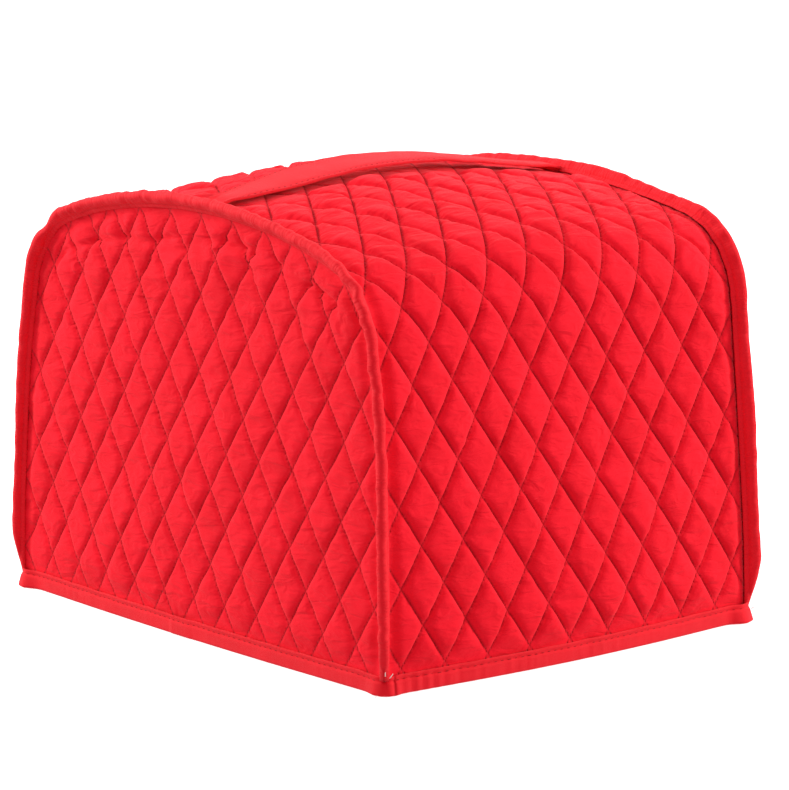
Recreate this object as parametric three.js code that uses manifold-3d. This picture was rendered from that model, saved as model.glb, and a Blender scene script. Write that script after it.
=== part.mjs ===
// Quilted toaster cover, open at the bottom. One long quilted strip goes up one short side,
// over the top and down the other. Two arched panels close the front and the back. Folded tape
// binds the two seams, where it stands out as a fin, and the hem. A strap of folded tape
// crosses the top as a handle.
//
// Frame, in millimetres: the origin is on the floor under the middle of the cover, +Z is up,
// the front panel faces -Y and the strip's short sides face +X and -X.

import * as THREE from 'three';
import { mergeVertices } from 'three/addons/utils/BufferGeometryUtils.js';
import Module from 'manifold-3d';

// Quilting: diamonds on a regular lattice of stitch lines
const DIAMOND_WIDTH = 24;
const DIAMOND_HEIGHT = 36;
const PUFF = 2.6;                 // rise of a diamond's middle over its stitch lines
const PUFF_SPREAD = 0.16;         // how unevenly the diamonds are filled
const PUFF_CHANGE = { across: 1.7, along: 2.9 };  // turn of that unevenness from one to the next
const CLOTH = 2;                  // thickness of the quilted cloth at a stitch line
const SUBDIVISION = 4;            // facets across one diamond
const STRIP_BACK_STEP = 4;        // facets of the quilted face to one of the strip's plain back
const PANEL_BACK_STEP = 8;        // and of a panel's, across
const PANEL_BACK_ROWS = 2;        // and up
const RIM_STEP = 9;               // step along the edge of an arched panel
const SLAB_MARGIN = 3;            // a panel is cut out of a quilted slab this much larger

// Outline of the cover, measured on the stitch lines
const HALF_WIDTH = 142;           // half the front panel's width at the hem
const HALF_DEPTH = 111;           // half the strip's width at the hem
const HEIGHT = 204;               // top of the strip at its middle
const HEM_STRAIGHT = 12;          // upright stretch that the hem binding holds
const SIDE_TURN = THREE.MathUtils.degToRad(8);
const CROWN_SLOPE = THREE.MathUtils.degToRad(15);
const CORNER_RADIUS = 40;
const PANEL_LEAN = 0.025;         // the front and back lean in by this much per unit of height

// How the cloth swells and sinks between the seams
const SIDE_BULGE = 6;
const SHOULDER_HOLLOW = 2.5;
const SHOULDER_SPAN = 220;
const TOP_RISE = 10;              // the strip's top stands this far over its seams
const TOP_SPAN = 190;
const SHOULDER_SKEW = 2.6;        // the back's shoulders are this much fuller, the front's less
const SHOULDER_REACH = 42;
const PANEL_BULGE = 3;
const WAVE = 0.6;                 // slow unevenness of the cloth
const BROAD_WAVE = { along: 27, across: 33, alongShift: 0.6, acrossShift: 0.4 };
const SLANTED_WAVE = { along: 14, across: 19, share: 0.6 };
const PANEL_WAVE_SHIFT = 60;      // the front and the back are uneven in other places

// Lattice origins: a crossing of stitch lines on each quilted piece
const STRIP_CROSSING = { across: -102, along: 11.5 };
const PANEL_CROSSING = { across: 123, along: 20.5 };

// Bindings and seams
const SEAM_ROOM = 2.7;            // the cloths end this far inside the corner of a seam
const SEAM_FADE = 9;              // the quilting flattens over this distance to a seam
const FIN_DEPTH = 8.7;
const FIN_HALF = 1.8;             // half the fin's thickness
const FIN_ROOT = 1.2;             // how far the fin's root reaches into the corner
const FIN_ANGLE = Math.PI / 4;
const FIN_SWAY = THREE.MathUtils.degToRad(7);
const FIN_SWAY_LENGTH = { short: 21, long: 57 };
const FIN_FULLNESS = { root: 0.7, inner: 1, outer: 0.95, edge: 0.45 };
const FIN_STEP = { side: 18, corner: 6.5, crown: 15 };
const FIN_CALM = 26;              // the fin runs straight over this length above the hem
const FIN_WAVE = 0.4;             // how much the fin's depth wavers
const FIN_WAVE_LENGTH = 13;
const FIN_ROUND = 1.2;            // the fin's outer edge is rounded over this depth
const PINCH_DEPTH = 2.2;          // the front binding is pinched at its far shoulder
const PINCH_SPAN = 9;
const PINCH_PLACE = 0.8;          // share of the way down from the top's middle
const HEM_HEIGHT = 9.2;
const HEM_WALL = 1.1;
const HEM_FLOOR = 1;
const HEM_STEP = 28;
const HEM_LIP = 0.4;              // the tape's outer edge is rounded by this much
const HEM_FADE = 16;
const EAR = 2.4;                  // the hem's corners stand out over the tails of the fins
const EAR_SPAN = 8;
const GAP = 0.3;

// Handle strap
const STRAP_HALF_WIDTH = 13;
const STRAP_HALF_END = 7;         // the ends are pleated narrower where the seams catch them
const STRAP_THICKNESS = 2;
const STRAP_CLEARANCE = 1.7;      // the strap's lower face over the stitch lines at its ends
const STRAP_RISE = 2.5;
const STRAP_ARCH = 2.5;           // the ends of the arch hug the cloth more above 1
const STRAP_WIDENING = 1.4;       // how fast the pleated ends open to the full width
const STRAP_TILT = THREE.MathUtils.degToRad(6);
const STRAP_TILT_AHEAD = 0.6;     // the tilt is largest in the front half
const STRAP_OFFSET = 8;           // the strap's middle lies this far to +X
const STRAP_CUP = 0.3;            // how far the middle of the tape sinks between its edges
const STRAP_STEPS = 32;
const STRAP_PRESS = 0.8;          // how much of the quilting's puff the strap presses flat
const STRAP_PRESS_REACH = 20;
const STRAP_PRESS_FADE = 7;

const MIN_STEP = 1;               // no facet narrower than this at the edge of a piece

const smooth = (value) => THREE.MathUtils.smoothstep(value, 0, 1);

// The outline of the strip, walked from the +X hem over the top to the -X hem. Each half is an
// upright stretch and three arcs that meet on common tangents. The side's radius follows from
// the height, and the crown's from the width.
const turnCorner = Math.PI / 2 - CROWN_SLOPE;
const crownFactor = (1 - Math.sin(turnCorner)) / Math.cos(turnCorner);
const cornerIn = CORNER_RADIUS * (Math.cos(SIDE_TURN) - Math.cos(turnCorner));
const cornerUp = CORNER_RADIUS * (Math.sin(turnCorner) - Math.sin(SIDE_TURN));
const sideRadius = (HEIGHT - HEM_STRAIGHT - cornerUp - (HALF_WIDTH - cornerIn) * crownFactor)
  / (Math.sin(SIDE_TURN) - (1 - Math.cos(SIDE_TURN)) * crownFactor);
const crownRadius = (HALF_WIDTH - sideRadius * (1 - Math.cos(SIDE_TURN)) - cornerIn)
  / Math.cos(turnCorner);
const sideEnd = HEM_STRAIGHT + sideRadius * SIDE_TURN;
const cornerEnd = sideEnd + CORNER_RADIUS * (turnCorner - SIDE_TURN);
const HALF_LENGTH = cornerEnd + crownRadius * CROWN_SLOPE;
const LENGTH = 2 * HALF_LENGTH;

/** A point of the half outline and its turn from the upright, at a distance from the hem. */
function halfOutline(distance) {
  const side = THREE.MathUtils.clamp((distance - HEM_STRAIGHT) / sideRadius, 0, SIDE_TURN);
  const corner = THREE.MathUtils.clamp((distance - sideEnd) / CORNER_RADIUS, 0, turnCorner - SIDE_TURN);
  const crown = Math.max(0, (distance - cornerEnd) / crownRadius);
  const turn = side + corner + crown;
  const inward = sideRadius * (1 - Math.cos(side))
    + CORNER_RADIUS * (Math.cos(SIDE_TURN) - Math.cos(SIDE_TURN + corner))
    + crownRadius * (Math.cos(turnCorner) - Math.cos(turnCorner + crown));
  const up = Math.min(distance, HEM_STRAIGHT) + sideRadius * Math.sin(side)
    + CORNER_RADIUS * (Math.sin(SIDE_TURN + corner) - Math.sin(SIDE_TURN))
    + crownRadius * (Math.sin(turnCorner + crown) - Math.sin(turnCorner));
  return { x: HALF_WIDTH - inward, z: up, turn };
}

/** Place and outward normal on the whole outline, moved out by an offset. */
function outline(distance, offset = 0) {
  const side = distance <= HALF_LENGTH ? 1 : -1;
  const half = halfOutline(side > 0 ? distance : LENGTH - distance);
  const normal = new THREE.Vector2(side * Math.cos(half.turn), Math.sin(half.turn));
  return new THREE.Vector2(side * half.x, half.z).addScaledVector(normal, offset);
}

/** How far a shoulder stands out at a share of the depth, from -1 at the front to 1 at the back. */
function skew(along, share) {
  const fromShoulder = Math.min(along, LENGTH - along) - (sideEnd + cornerEnd) / 2;
  return SHOULDER_SKEW * share * Math.exp(-((fromShoulder / SHOULDER_REACH) ** 2));
}

/** Half the distance between the front and the back at a height. */
const depthAt = (height) => HALF_DEPTH - PANEL_LEAN * Math.max(0, height - HEM_STRAIGHT);

/** Rise of the quilting at a point of the lattice, in diamond widths and heights. */
function quilting(across, along) {
  const rising = Math.abs(Math.sin(Math.PI * (along + across)));
  const falling = Math.abs(Math.sin(Math.PI * (along - across)));
  const filling = 1 + PUFF_SPREAD * Math.sin(
    PUFF_CHANGE.across * Math.round(2 * across) + PUFF_CHANGE.along * Math.round(2 * along));
  return PUFF * filling * Math.sqrt(rising * falling);
}

/** Slow unevenness of the cloth between its seams. */
function waves(across, along) {
  const broad = Math.sin(along / BROAD_WAVE.along + BROAD_WAVE.alongShift)
    * Math.sin(across / BROAD_WAVE.across + BROAD_WAVE.acrossShift);
  const slanted = Math.sin(along / SLANTED_WAVE.along - across / SLANTED_WAVE.across);
  return WAVE * (broad + SLANTED_WAVE.share * slanted);
}

/** Grid lines on the lattice between two edges, each with the number of the cell that follows. */
function gridLines(low, high, origin, pitch) {
  const first = Math.ceil((low + MIN_STEP - origin) / pitch);
  const last = Math.floor((high - MIN_STEP - origin) / pitch);
  const lines = [{ at: low, cell: first - 1 }];
  for (let cell = first; cell <= last; cell += 1) {
    lines.push({ at: origin + cell * pitch, cell });
  }
  lines.push({ at: high, cell: last + 1 });
  return lines;
}

/** Every so many of the lines, with the last one always kept. */
const thinned = (lines, step) => lines.filter((line, index) => index % step === 0
  || index === lines.length - 1);

/** An indexed geometry whose faces point out, whichever way its triangles were wound. */
function solid(points, triangles) {
  let volume = 0;
  const cross = new THREE.Vector3();
  for (const [a, b, c] of triangles) {
    volume += points[a].dot(cross.crossVectors(points[b], points[c]));
  }
  const wound = volume > 0 ? triangles : triangles.map(([a, b, c]) => [a, c, b]);
  const geometry = new THREE.BufferGeometry().setFromPoints(points);
  geometry.setIndex(wound.flat());
  return geometry;
}

/** Triangles between two edges that share their ends but not their steps. */
function stitched(front, back) {
  const triangles = [];
  let near = 0;
  let far = 0;
  while (near < front.length - 1 || far < back.length - 1) {
    const stepNear = far === back.length - 1
      || (near < front.length - 1 && front[near + 1].at <= back[far + 1].at);
    if (stepNear) {
      triangles.push([front[near].point, front[near + 1].point, back[far].point]);
      near += 1;
    } else {
      triangles.push([front[near].point, back[far + 1].point, back[far].point]);
      far += 1;
    }
  }
  return triangles;
}

/** A closed sheet: a fine outer face, a plain inner face and a rim all round. */
function sheet(rows, columns, backRows, backColumns, face, back) {
  const points = [];
  const triangles = [];
  const addFace = (rowLines, columnLines, place, outward) => {
    const start = points.length;
    const number = (row, column) => start + row * columnLines.length + column;
    rowLines.forEach((row) => columnLines.forEach((column) => points.push(place(row.at, column.at))));
    for (let row = 0; row < rowLines.length - 1; row += 1) {
      for (let column = 0; column < columnLines.length - 1; column += 1) {
        const corners = [number(row, column), number(row, column + 1),
          number(row + 1, column + 1), number(row + 1, column)];
        const rising = (rowLines[row].cell - columnLines[column].cell) % 2 === 0;
        const [a, b, c, d] = rising ? corners : [...corners.slice(1), corners[0]];
        triangles.push(...(outward ? [[a, b, c], [a, c, d]] : [[a, c, b], [a, d, c]]));
      }
    }
    return number;
  };
  const fine = addFace(rows, columns, face, true);
  const plain = addFace(backRows, backColumns, back, false);
  const edge = (lines, pick) => lines.map((line, index) => ({ at: line.at, point: pick(index) }));
  const [lastRow, lastColumn] = [rows.length - 1, columns.length - 1];
  const [backRow, backColumn] = [backRows.length - 1, backColumns.length - 1];
  const flip = ([a, b, c]) => [a, c, b];
  triangles.push(
    ...stitched(edge(columns, (i) => fine(0, i)), edge(backColumns, (i) => plain(0, i))).map(flip),
    ...stitched(edge(columns, (i) => fine(lastRow, i)), edge(backColumns, (i) => plain(backRow, i))),
    ...stitched(edge(rows, (i) => fine(i, 0)), edge(backRows, (i) => plain(i, 0))),
    ...stitched(edge(rows, (i) => fine(i, lastColumn)),
      edge(backRows, (i) => plain(i, backColumn))).map(flip),
  );
  return solid(points, triangles);
}

/** A solid swept through section loops, closed on itself or capped at both ends. */
function swept(loops, closed) {
  const size = loops[0].length;
  const triangles = [];
  const spans = closed ? loops.length : loops.length - 1;
  for (let span = 0; span < spans; span += 1) {
    const here = span * size;
    const next = ((span + 1) % loops.length) * size;
    for (let side = 0; side < size; side += 1) {
      const other = (side + 1) % size;
      triangles.push([here + side, next + side, next + other], [here + side, next + other, here + other]);
    }
  }
  if (!closed) {
    const end = (loops.length - 1) * size;
    for (let side = 1; side < size - 1; side += 1) {
      triangles.push([0, side, side + 1], [end, end + side + 1, end + side]);
    }
  }
  return solid(loops.flat(), triangles);
}

/** How far the strip swells out of its outline, by its place along and across the strip. */
function stripSwell(along, across) {
  const rise = Math.min(along, LENGTH - along);
  const between = Math.cos((Math.PI / 2) * (across / HALF_DEPTH));
  const foot = SIDE_BULGE * Math.cos((Math.PI / 2) * Math.min(1, rise / sideEnd)) ** 2;
  const hollow = SHOULDER_HOLLOW * Math.sin(Math.PI * Math.min(1, rise / SHOULDER_SPAN)) ** 2;
  const waving = waves(across, along) * smooth((rise - HEM_STRAIGHT) / HEM_FADE);
  const top = TOP_RISE * Math.cos((Math.PI / 2) * Math.min(1, (HALF_LENGTH - rise) / TOP_SPAN)) ** 2;
  return between * (foot - hollow + top + waving) + skew(along, across / HALF_DEPTH);
}

function stripGeometry() {
  const edge = HALF_DEPTH - SEAM_ROOM;
  const low = HEM_FLOOR + GAP;
  const rows = gridLines(low, LENGTH - low, STRIP_CROSSING.along, DIAMOND_HEIGHT / SUBDIVISION);
  const columns = gridLines(-edge, edge, STRIP_CROSSING.across, DIAMOND_WIDTH / SUBDIVISION);
  const place = (along, across, offset) => {
    const at = outline(along, offset);
    const narrowed = (depthAt(outline(along).y) - SEAM_ROOM) / edge;
    return new THREE.Vector3(at.x, across * narrowed, at.y);
  };
  const face = (along, across) => {
    const toSeam = smooth((edge - Math.abs(across)) / SEAM_FADE);
    const toHem = smooth((Math.min(along, LENGTH - along) - HEM_HEIGHT) / HEM_FADE);
    const puff = quilting((across - STRIP_CROSSING.across) / DIAMOND_WIDTH,
      (along - STRIP_CROSSING.along) / DIAMOND_HEIGHT);
    const fromStrap = Math.abs(HALF_LENGTH - along - STRAP_OFFSET);
    const pressed = STRAP_PRESS * smooth((STRAP_PRESS_REACH - fromStrap) / STRAP_PRESS_FADE);
    return place(along, across, stripSwell(along, across) + puff * toSeam * toHem * (1 - pressed));
  };
  const back = (along, across) => place(along, across, stripSwell(along, across) - CLOTH);
  return sheet(rows, columns, rows, thinned(columns, STRIP_BACK_STEP), face, back);
}

/** How far the front or back swells out of its plane. */
const panelSwell = (across, height) => Math.cos((Math.PI / 2) * Math.min(1, Math.abs(across) / HALF_WIDTH))
  * (1 - smooth(height / HEIGHT)) * PANEL_BULGE;

/** The edge of an arched panel: the outline, moved in to where the cloth ends. */
function panelRim(side) {
  const points = [];
  const count = Math.round(LENGTH / RIM_STEP);
  for (let index = 0; index <= count; index += 1) {
    const along = THREE.MathUtils.lerp(HEM_FLOOR + GAP, LENGTH - HEM_FLOOR - GAP, index / count);
    points.push(outline(along, skew(along, side) - SEAM_ROOM));
  }
  return points;
}

function panelGeometry(side) {
  const rim = panelRim(side);
  const waving = (across, height) => waves(across, height + PANEL_WAVE_SHIFT * side)
    * smooth((height - HEM_STRAIGHT) / HEM_FADE);
  const rimDistance = (across, height) => Math.min(...rim.map((point) => Math.hypot(
    point.x - across, point.y - Math.max(height, HEM_STRAIGHT))));
  const place = (height, across, offset) => new THREE.Vector3(across,
    side * (depthAt(height) + panelSwell(across, height) + offset), height);
  const face = (height, across) => {
    const fade = smooth(rimDistance(across, height) / SEAM_FADE);
    const toHem = smooth((height - HEM_HEIGHT) / HEM_FADE);
    const puff = quilting((across - PANEL_CROSSING.across) / DIAMOND_WIDTH,
      (height - PANEL_CROSSING.along) / DIAMOND_HEIGHT);
    return place(height, across, fade * (puff * toHem + waving(across, height)));
  };
  const back = (height, across) => place(height, across,
    smooth(rimDistance(across, height) / SEAM_FADE) * waving(across, height) - CLOTH);
  const rows = gridLines(-SLAB_MARGIN, HEIGHT + SLAB_MARGIN, PANEL_CROSSING.along,
    DIAMOND_HEIGHT / SUBDIVISION);
  const columns = gridLines(-HALF_WIDTH - SLAB_MARGIN, HALF_WIDTH + SLAB_MARGIN,
    PANEL_CROSSING.across, DIAMOND_WIDTH / SUBDIVISION);
  const slab = sheet(rows, columns, thinned(rows, PANEL_BACK_ROWS),
    thinned(columns, PANEL_BACK_STEP), face, back);
  const reach = 2 * HALF_DEPTH;
  const block = new THREE.ExtrudeGeometry(new THREE.Shape(rim), { depth: reach, bevelEnabled: false });
  block.rotateX(Math.PI / 2);
  block.translate(0, side > 0 ? reach + 1 : -1, 0);
  return cut(slab, block);
}

const manifold = await Module();
manifold.setup();

/** A geometry as a solid that can be cut. */
function toSolid(geometry) {
  const bare = geometry.clone();
  bare.deleteAttribute('normal');
  bare.deleteAttribute('uv');
  const merged = mergeVertices(bare, 1e-4);
  return new manifold.Manifold(new manifold.Mesh({
    numProp: 3,
    vertProperties: new Float32Array(merged.attributes.position.array),
    triVerts: new Uint32Array(merged.index.array),
  }));
}

/** The part of one geometry that lies inside another. */
function cut(geometry, block) {
  const mesh = toSolid(geometry).intersect(toSolid(block)).getMesh();
  const kept = new THREE.BufferGeometry();
  kept.setAttribute('position', new THREE.BufferAttribute(mesh.vertProperties, 3));
  kept.setIndex(new THREE.BufferAttribute(mesh.triVerts, 1));
  return kept;
}

/** Folded tape that stands out along a seam, as a fin between the strip and a panel. */
function seamBindingGeometry(side) {
  const start = HEM_HEIGHT + GAP;
  const pinchAt = HALF_LENGTH + (HALF_LENGTH - sideEnd) * PINCH_PLACE;
  const stretches = [
    [start, sideEnd, FIN_STEP.side], [sideEnd, cornerEnd, FIN_STEP.corner],
    [cornerEnd, LENGTH - cornerEnd, FIN_STEP.crown],
    [LENGTH - cornerEnd, LENGTH - sideEnd, FIN_STEP.corner],
    [LENGTH - sideEnd, LENGTH - start, FIN_STEP.side],
  ];
  const stations = [start];
  for (const [from, to, step] of stretches) {
    const count = Math.round((to - from) / step);
    for (let index = 1; index <= count; index += 1) {
      stations.push(THREE.MathUtils.lerp(from, to, index / count));
    }
  }
  return swept(stations.map((along) => {
    const calm = smooth((Math.min(along, LENGTH - along) - start) / FIN_CALM);
    const sway = Math.sin(along / FIN_SWAY_LENGTH.short + side) * Math.sin(along / FIN_SWAY_LENGTH.long);
    const angle = FIN_ANGLE + calm * FIN_SWAY * sway;
    const pinch = side < 0 ? PINCH_DEPTH * Math.exp(-(((along - pinchAt) / PINCH_SPAN) ** 2)) : 0;
    const depth = FIN_DEPTH - pinch + FIN_WAVE * calm * Math.sin(along / FIN_WAVE_LENGTH);
    const upper = [
      [-FIN_ROOT, FIN_FULLNESS.root], [FIN_HALF, FIN_FULLNESS.inner],
      [depth - FIN_ROUND, FIN_FULLNESS.outer], [depth, FIN_FULLNESS.edge],
    ].map(([out, share]) => [out, share * FIN_HALF]);
    const lower = upper.map(([out, thick]) => [out, -thick]).reverse();
    return [...upper, ...lower].map(([out, thick]) => {
      const over = out * Math.cos(angle) - thick * Math.sin(angle);
      const forward = out * Math.sin(angle) + thick * Math.cos(angle);
      const at = outline(along, skew(along, side) + over);
      return new THREE.Vector3(at.x, side * (depthAt(outline(along).y) + forward), at.y);
    });
  }), false);
}

/** Folded tape round the open bottom: a channel that holds the cloths' bottom edges. */
function hemBindingGeometry() {
  const middle = CLOTH / 2;
  const corner = new THREE.Vector2(HALF_WIDTH - middle, HALF_DEPTH - middle);
  const stations = [];
  const addSide = (from, to, swell) => {
    const span = from.distanceTo(to);
    const outward = new THREE.Vector2(to.y - from.y, from.x - to.x).normalize();
    const count = Math.round(span / HEM_STEP);
    const marks = [0, EAR_SPAN / span, (2 * EAR_SPAN) / span];
    for (let index = 1; index < count; index += 1) {
      marks.push(THREE.MathUtils.lerp(2 * EAR_SPAN, span - 2 * EAR_SPAN, index / count) / span);
    }
    marks.push(1 - (2 * EAR_SPAN) / span, 1 - EAR_SPAN / span);
    for (const mark of marks) {
      const at = from.clone().lerp(to, mark);
      const fromCorner = Math.min(mark, 1 - mark) * span;
      const ear = EAR * Math.exp(-((fromCorner / EAR_SPAN) ** 2));
      const direction = mark === 0
        ? new THREE.Vector2(Math.sign(from.x), Math.sign(from.y)) : outward;
      stations.push({ at: at.addScaledVector(outward, mark === 0 ? 0 : swell(at)), direction, ear });
    }
  };
  const [right, back] = [corner.x, corner.y];
  const corners = [[right, -back], [right, back], [-right, back], [-right, -back]]
    .map(([x, y]) => new THREE.Vector2(x, y));
  const sideSwell = (at) => stripSwell(0, at.y);
  const faceSwell = (at) => panelSwell(at.x, 0);
  addSide(corners[0], corners[1], sideSwell);
  addSide(corners[1], corners[2], faceSwell);
  addSide(corners[2], corners[3], sideSwell);
  addSide(corners[3], corners[0], faceSwell);
  const slot = middle + GAP;
  const outer = slot + HEM_WALL;
  const inner = HEM_HEIGHT - HEM_LIP;
  return swept(stations.map(({ at, direction, ear }) => [
    [outer + ear, 0], [outer + ear, inner], [outer + ear - HEM_LIP, HEM_HEIGHT], [slot, HEM_HEIGHT],
    [slot, HEM_FLOOR], [-slot, HEM_FLOOR], [-slot, inner], [-outer, inner], [-outer, 0],
  ].map(([offset, height]) => new THREE.Vector3(
    at.x + direction.x * offset, at.y + direction.y * offset, height))), true);
}

/** Folded tape from seam to seam over the top, its far edge a little lifted. */
function handleStrapGeometry() {
  const loops = [];
  const reach = depthAt(HEIGHT) - 2 * SEAM_ROOM;
  for (let index = 0; index <= STRAP_STEPS; index += 1) {
    const along = index / STRAP_STEPS;
    const arch = Math.sin(Math.PI * along);
    const half = THREE.MathUtils.lerp(STRAP_HALF_END, STRAP_HALF_WIDTH, smooth(arch * STRAP_WIDENING));
    const tilt = STRAP_TILT * Math.sin(Math.PI * along ** STRAP_TILT_AHEAD) ** 2 * (1 - along / 2);
    const base = STRAP_CLEARANCE + STRAP_RISE * arch ** STRAP_ARCH;
    const y = THREE.MathUtils.lerp(-reach, reach, along);
    const place = (across, lift) => {
      const x = STRAP_OFFSET + across * half * Math.cos(tilt) + lift * Math.sin(tilt);
      const top = outline(HALF_LENGTH - x, stripSwell(HALF_LENGTH, y)).y;
      return new THREE.Vector3(x, y,
        top + base + (1 - across) * half * Math.sin(tilt) + lift * Math.cos(tilt));
    };
    loops.push([place(1, 0), place(1, STRAP_THICKNESS), place(0, STRAP_THICKNESS - STRAP_CUP),
      place(-1, STRAP_THICKNESS), place(-1, 0), place(0, -STRAP_CUP)]);
  }
  return swept(loops, false);
}

const quiltedCloth = new THREE.MeshStandardMaterial({ color: 0xe0182c, roughness: 0.72, metalness: 0 });
const bindingTape = new THREE.MeshStandardMaterial({ color: 0xd41428, roughness: 0.6, metalness: 0 });

const cover = new THREE.Group();
const add = (name, geometry, material) => {
  const mesh = new THREE.Mesh(geometry, material);
  mesh.name = name;
  cover.add(mesh);
};

add('strip', stripGeometry(), quiltedCloth);
add('front_panel', panelGeometry(-1), quiltedCloth);
add('back_panel', panelGeometry(1), quiltedCloth);
add('front_binding', seamBindingGeometry(-1), bindingTape);
add('back_binding', seamBindingGeometry(1), bindingTape);
add('hem_binding', hemBindingGeometry(), bindingTape);
add('handle_strap', handleStrapGeometry(), bindingTape);

export default cover;
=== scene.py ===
"""Quilted toaster cover: the looks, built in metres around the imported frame.

One long quilted strip runs up one short side, over the top and down the other. Two arched
quilted panels close the front and the back. Folded tape binds the two seams and the hem, and
a strap of folded tape crosses the top as a handle.
"""

import logging
import math
from dataclasses import dataclass, field
from enum import Enum
from functools import cached_property, partial
from typing import Callable, Iterable

import bmesh
import bpy
from bmesh.types import BMesh
from bpy.types import ID, Material, Node, NodeSocket, NodeTree, Object
from mathutils import Matrix, Vector, noise
from mathutils.kdtree import KDTree


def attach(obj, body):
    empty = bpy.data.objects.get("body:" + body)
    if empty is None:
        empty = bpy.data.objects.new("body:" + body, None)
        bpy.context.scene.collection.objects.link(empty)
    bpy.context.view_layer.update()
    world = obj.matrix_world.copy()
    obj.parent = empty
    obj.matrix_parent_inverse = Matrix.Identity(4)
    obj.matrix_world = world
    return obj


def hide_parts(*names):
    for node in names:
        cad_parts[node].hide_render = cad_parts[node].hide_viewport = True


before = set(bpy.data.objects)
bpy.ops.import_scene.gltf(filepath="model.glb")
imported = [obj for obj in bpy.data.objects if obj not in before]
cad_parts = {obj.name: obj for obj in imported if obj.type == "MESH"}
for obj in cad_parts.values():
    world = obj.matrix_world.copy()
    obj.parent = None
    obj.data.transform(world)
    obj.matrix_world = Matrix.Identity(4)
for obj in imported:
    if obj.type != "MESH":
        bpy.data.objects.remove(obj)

MM = 0.001
TINY = 1e-6
BODY = "root"
LOG = logging.getLogger("cover")


class Slot(Enum):
    """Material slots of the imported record."""

    CLOTH = "quilted_cloth"
    TAPE = "binding_tape"


class Face(Enum):
    """The two arched ends, by the side of the cover that they close."""

    FRONT = -1
    BACK = 1

    @property
    def word(self) -> str:
        """The end's name, as its pieces carry it."""
        return self.name.lower()


def smooth(value: float) -> float:
    """Smooth step from 0 to 1."""
    kept = min(1.0, max(0.0, value))
    return kept * kept * (3 - 2 * kept)


def mix(low: float, high: float, share: float) -> float:
    """Value at a share of the way from low to high."""
    return low + (high - low) * share


def bell(distance: float, reach: float) -> float:
    """Soft hump, 1 at no distance and nearly 0 at twice the reach."""
    return math.exp(-((distance / reach) ** 2))


@dataclass(frozen=True)
class Waves:
    """Smooth uneven waves, the same on each run: their sizes in two directions, and a seed."""

    first: float
    second: float = 1.0
    seed: float = 0.0

    def at(self, a: float, b: float = 0.0, side: int = 1) -> float:
        """Their height at a place, between -1 and 1, with a seed of its own on each side."""
        return noise.noise(Vector((a / self.first, b / self.second, self.seed * side)))


def flat_point(across: float, along: float) -> Vector:
    """Dataclass field that holds a place on flat cloth."""
    return field(default_factory=lambda: Vector((across, along)))


@dataclass(frozen=True)
class Outline:
    """Arched outline of the cover, walked from the +X hem over the top to the -X hem.

    Each half is an upright stretch and three arcs that meet on common tangents.
    """

    half_width: float = 142 * MM
    half_depth: float = 111 * MM
    height: float = 204 * MM
    hem_straight: float = 12 * MM
    side_turn: float = math.radians(8)
    crown_slope: float = math.radians(15)
    corner_radius: float = 40 * MM
    lean: float = 0.025

    @cached_property
    def turn_corner(self) -> float:
        """Turn from the upright where the corner meets the crown."""
        return math.pi / 2 - self.crown_slope

    @cached_property
    def corner_in(self) -> float:
        """How far the corner's arc goes inward."""
        return self.corner_radius * (math.cos(self.side_turn) - math.cos(self.turn_corner))

    @cached_property
    def side_radius(self) -> float:
        """Radius of the side, which follows from the height."""
        crown_factor = (1 - math.sin(self.turn_corner)) / math.cos(self.turn_corner)
        corner_up = self.corner_radius * (math.sin(self.turn_corner) - math.sin(self.side_turn))
        crown_up = (self.half_width - self.corner_in) * crown_factor
        side_up = self.height - self.hem_straight - corner_up - crown_up
        return side_up / (math.sin(self.side_turn) - (1 - math.cos(self.side_turn)) * crown_factor)

    @cached_property
    def crown_radius(self) -> float:
        """Radius of the crown, which follows from the width."""
        side_in = self.side_radius * (1 - math.cos(self.side_turn))
        return (self.half_width - side_in - self.corner_in) / math.cos(self.turn_corner)

    @cached_property
    def side_end(self) -> float:
        """Distance from the hem where the side ends."""
        return self.hem_straight + self.side_radius * self.side_turn

    @cached_property
    def corner_end(self) -> float:
        """Distance from the hem where the corner ends."""
        return self.side_end + self.corner_radius * (self.turn_corner - self.side_turn)

    @cached_property
    def half_length(self) -> float:
        """Distance from the hem to the middle of the top."""
        return self.corner_end + self.crown_radius * self.crown_slope

    @cached_property
    def length(self) -> float:
        """The whole outline from hem to hem."""
        return 2 * self.half_length

    def at(self, along: float, offset: float = 0.0) -> Vector:
        """Place on the outline, moved out by an offset.

        Args:
            along: distance walked from the +X hem.
            offset: distance outward from the outline.

        Returns:
            The X and Z of the place.
        """
        side = 1 if along <= self.half_length else -1
        distance = along if side > 0 else self.length - along
        lower = min(self.side_turn, max(0.0, (distance - self.hem_straight) / self.side_radius))
        corner = min(self.turn_corner - self.side_turn,
                     max(0.0, (distance - self.side_end) / self.corner_radius))
        crown = max(0.0, (distance - self.corner_end) / self.crown_radius)
        turn = lower + corner + crown
        bend = self.side_turn + corner
        inward = (self.side_radius * (1 - math.cos(lower))
                  + self.corner_radius * (math.cos(self.side_turn) - math.cos(bend))
                  + self.crown_radius * (math.cos(self.turn_corner) - math.cos(self.turn_corner + crown)))
        up = (min(distance, self.hem_straight) + self.side_radius * math.sin(lower)
              + self.corner_radius * (math.sin(bend) - math.sin(self.side_turn))
              + self.crown_radius * (math.sin(self.turn_corner + crown) - math.sin(self.turn_corner)))
        x = side * (self.half_width - inward + offset * math.cos(turn))
        return Vector((x, up + offset * math.sin(turn)))

    def depth_at(self, height: float) -> float:
        """Half the distance between the front and the back at a height."""
        return self.half_depth - self.lean * max(0.0, height - self.hem_straight)

    def rise(self, along: float) -> float:
        """Distance from the nearer end of the outline."""
        return min(along, self.length - along)


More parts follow.
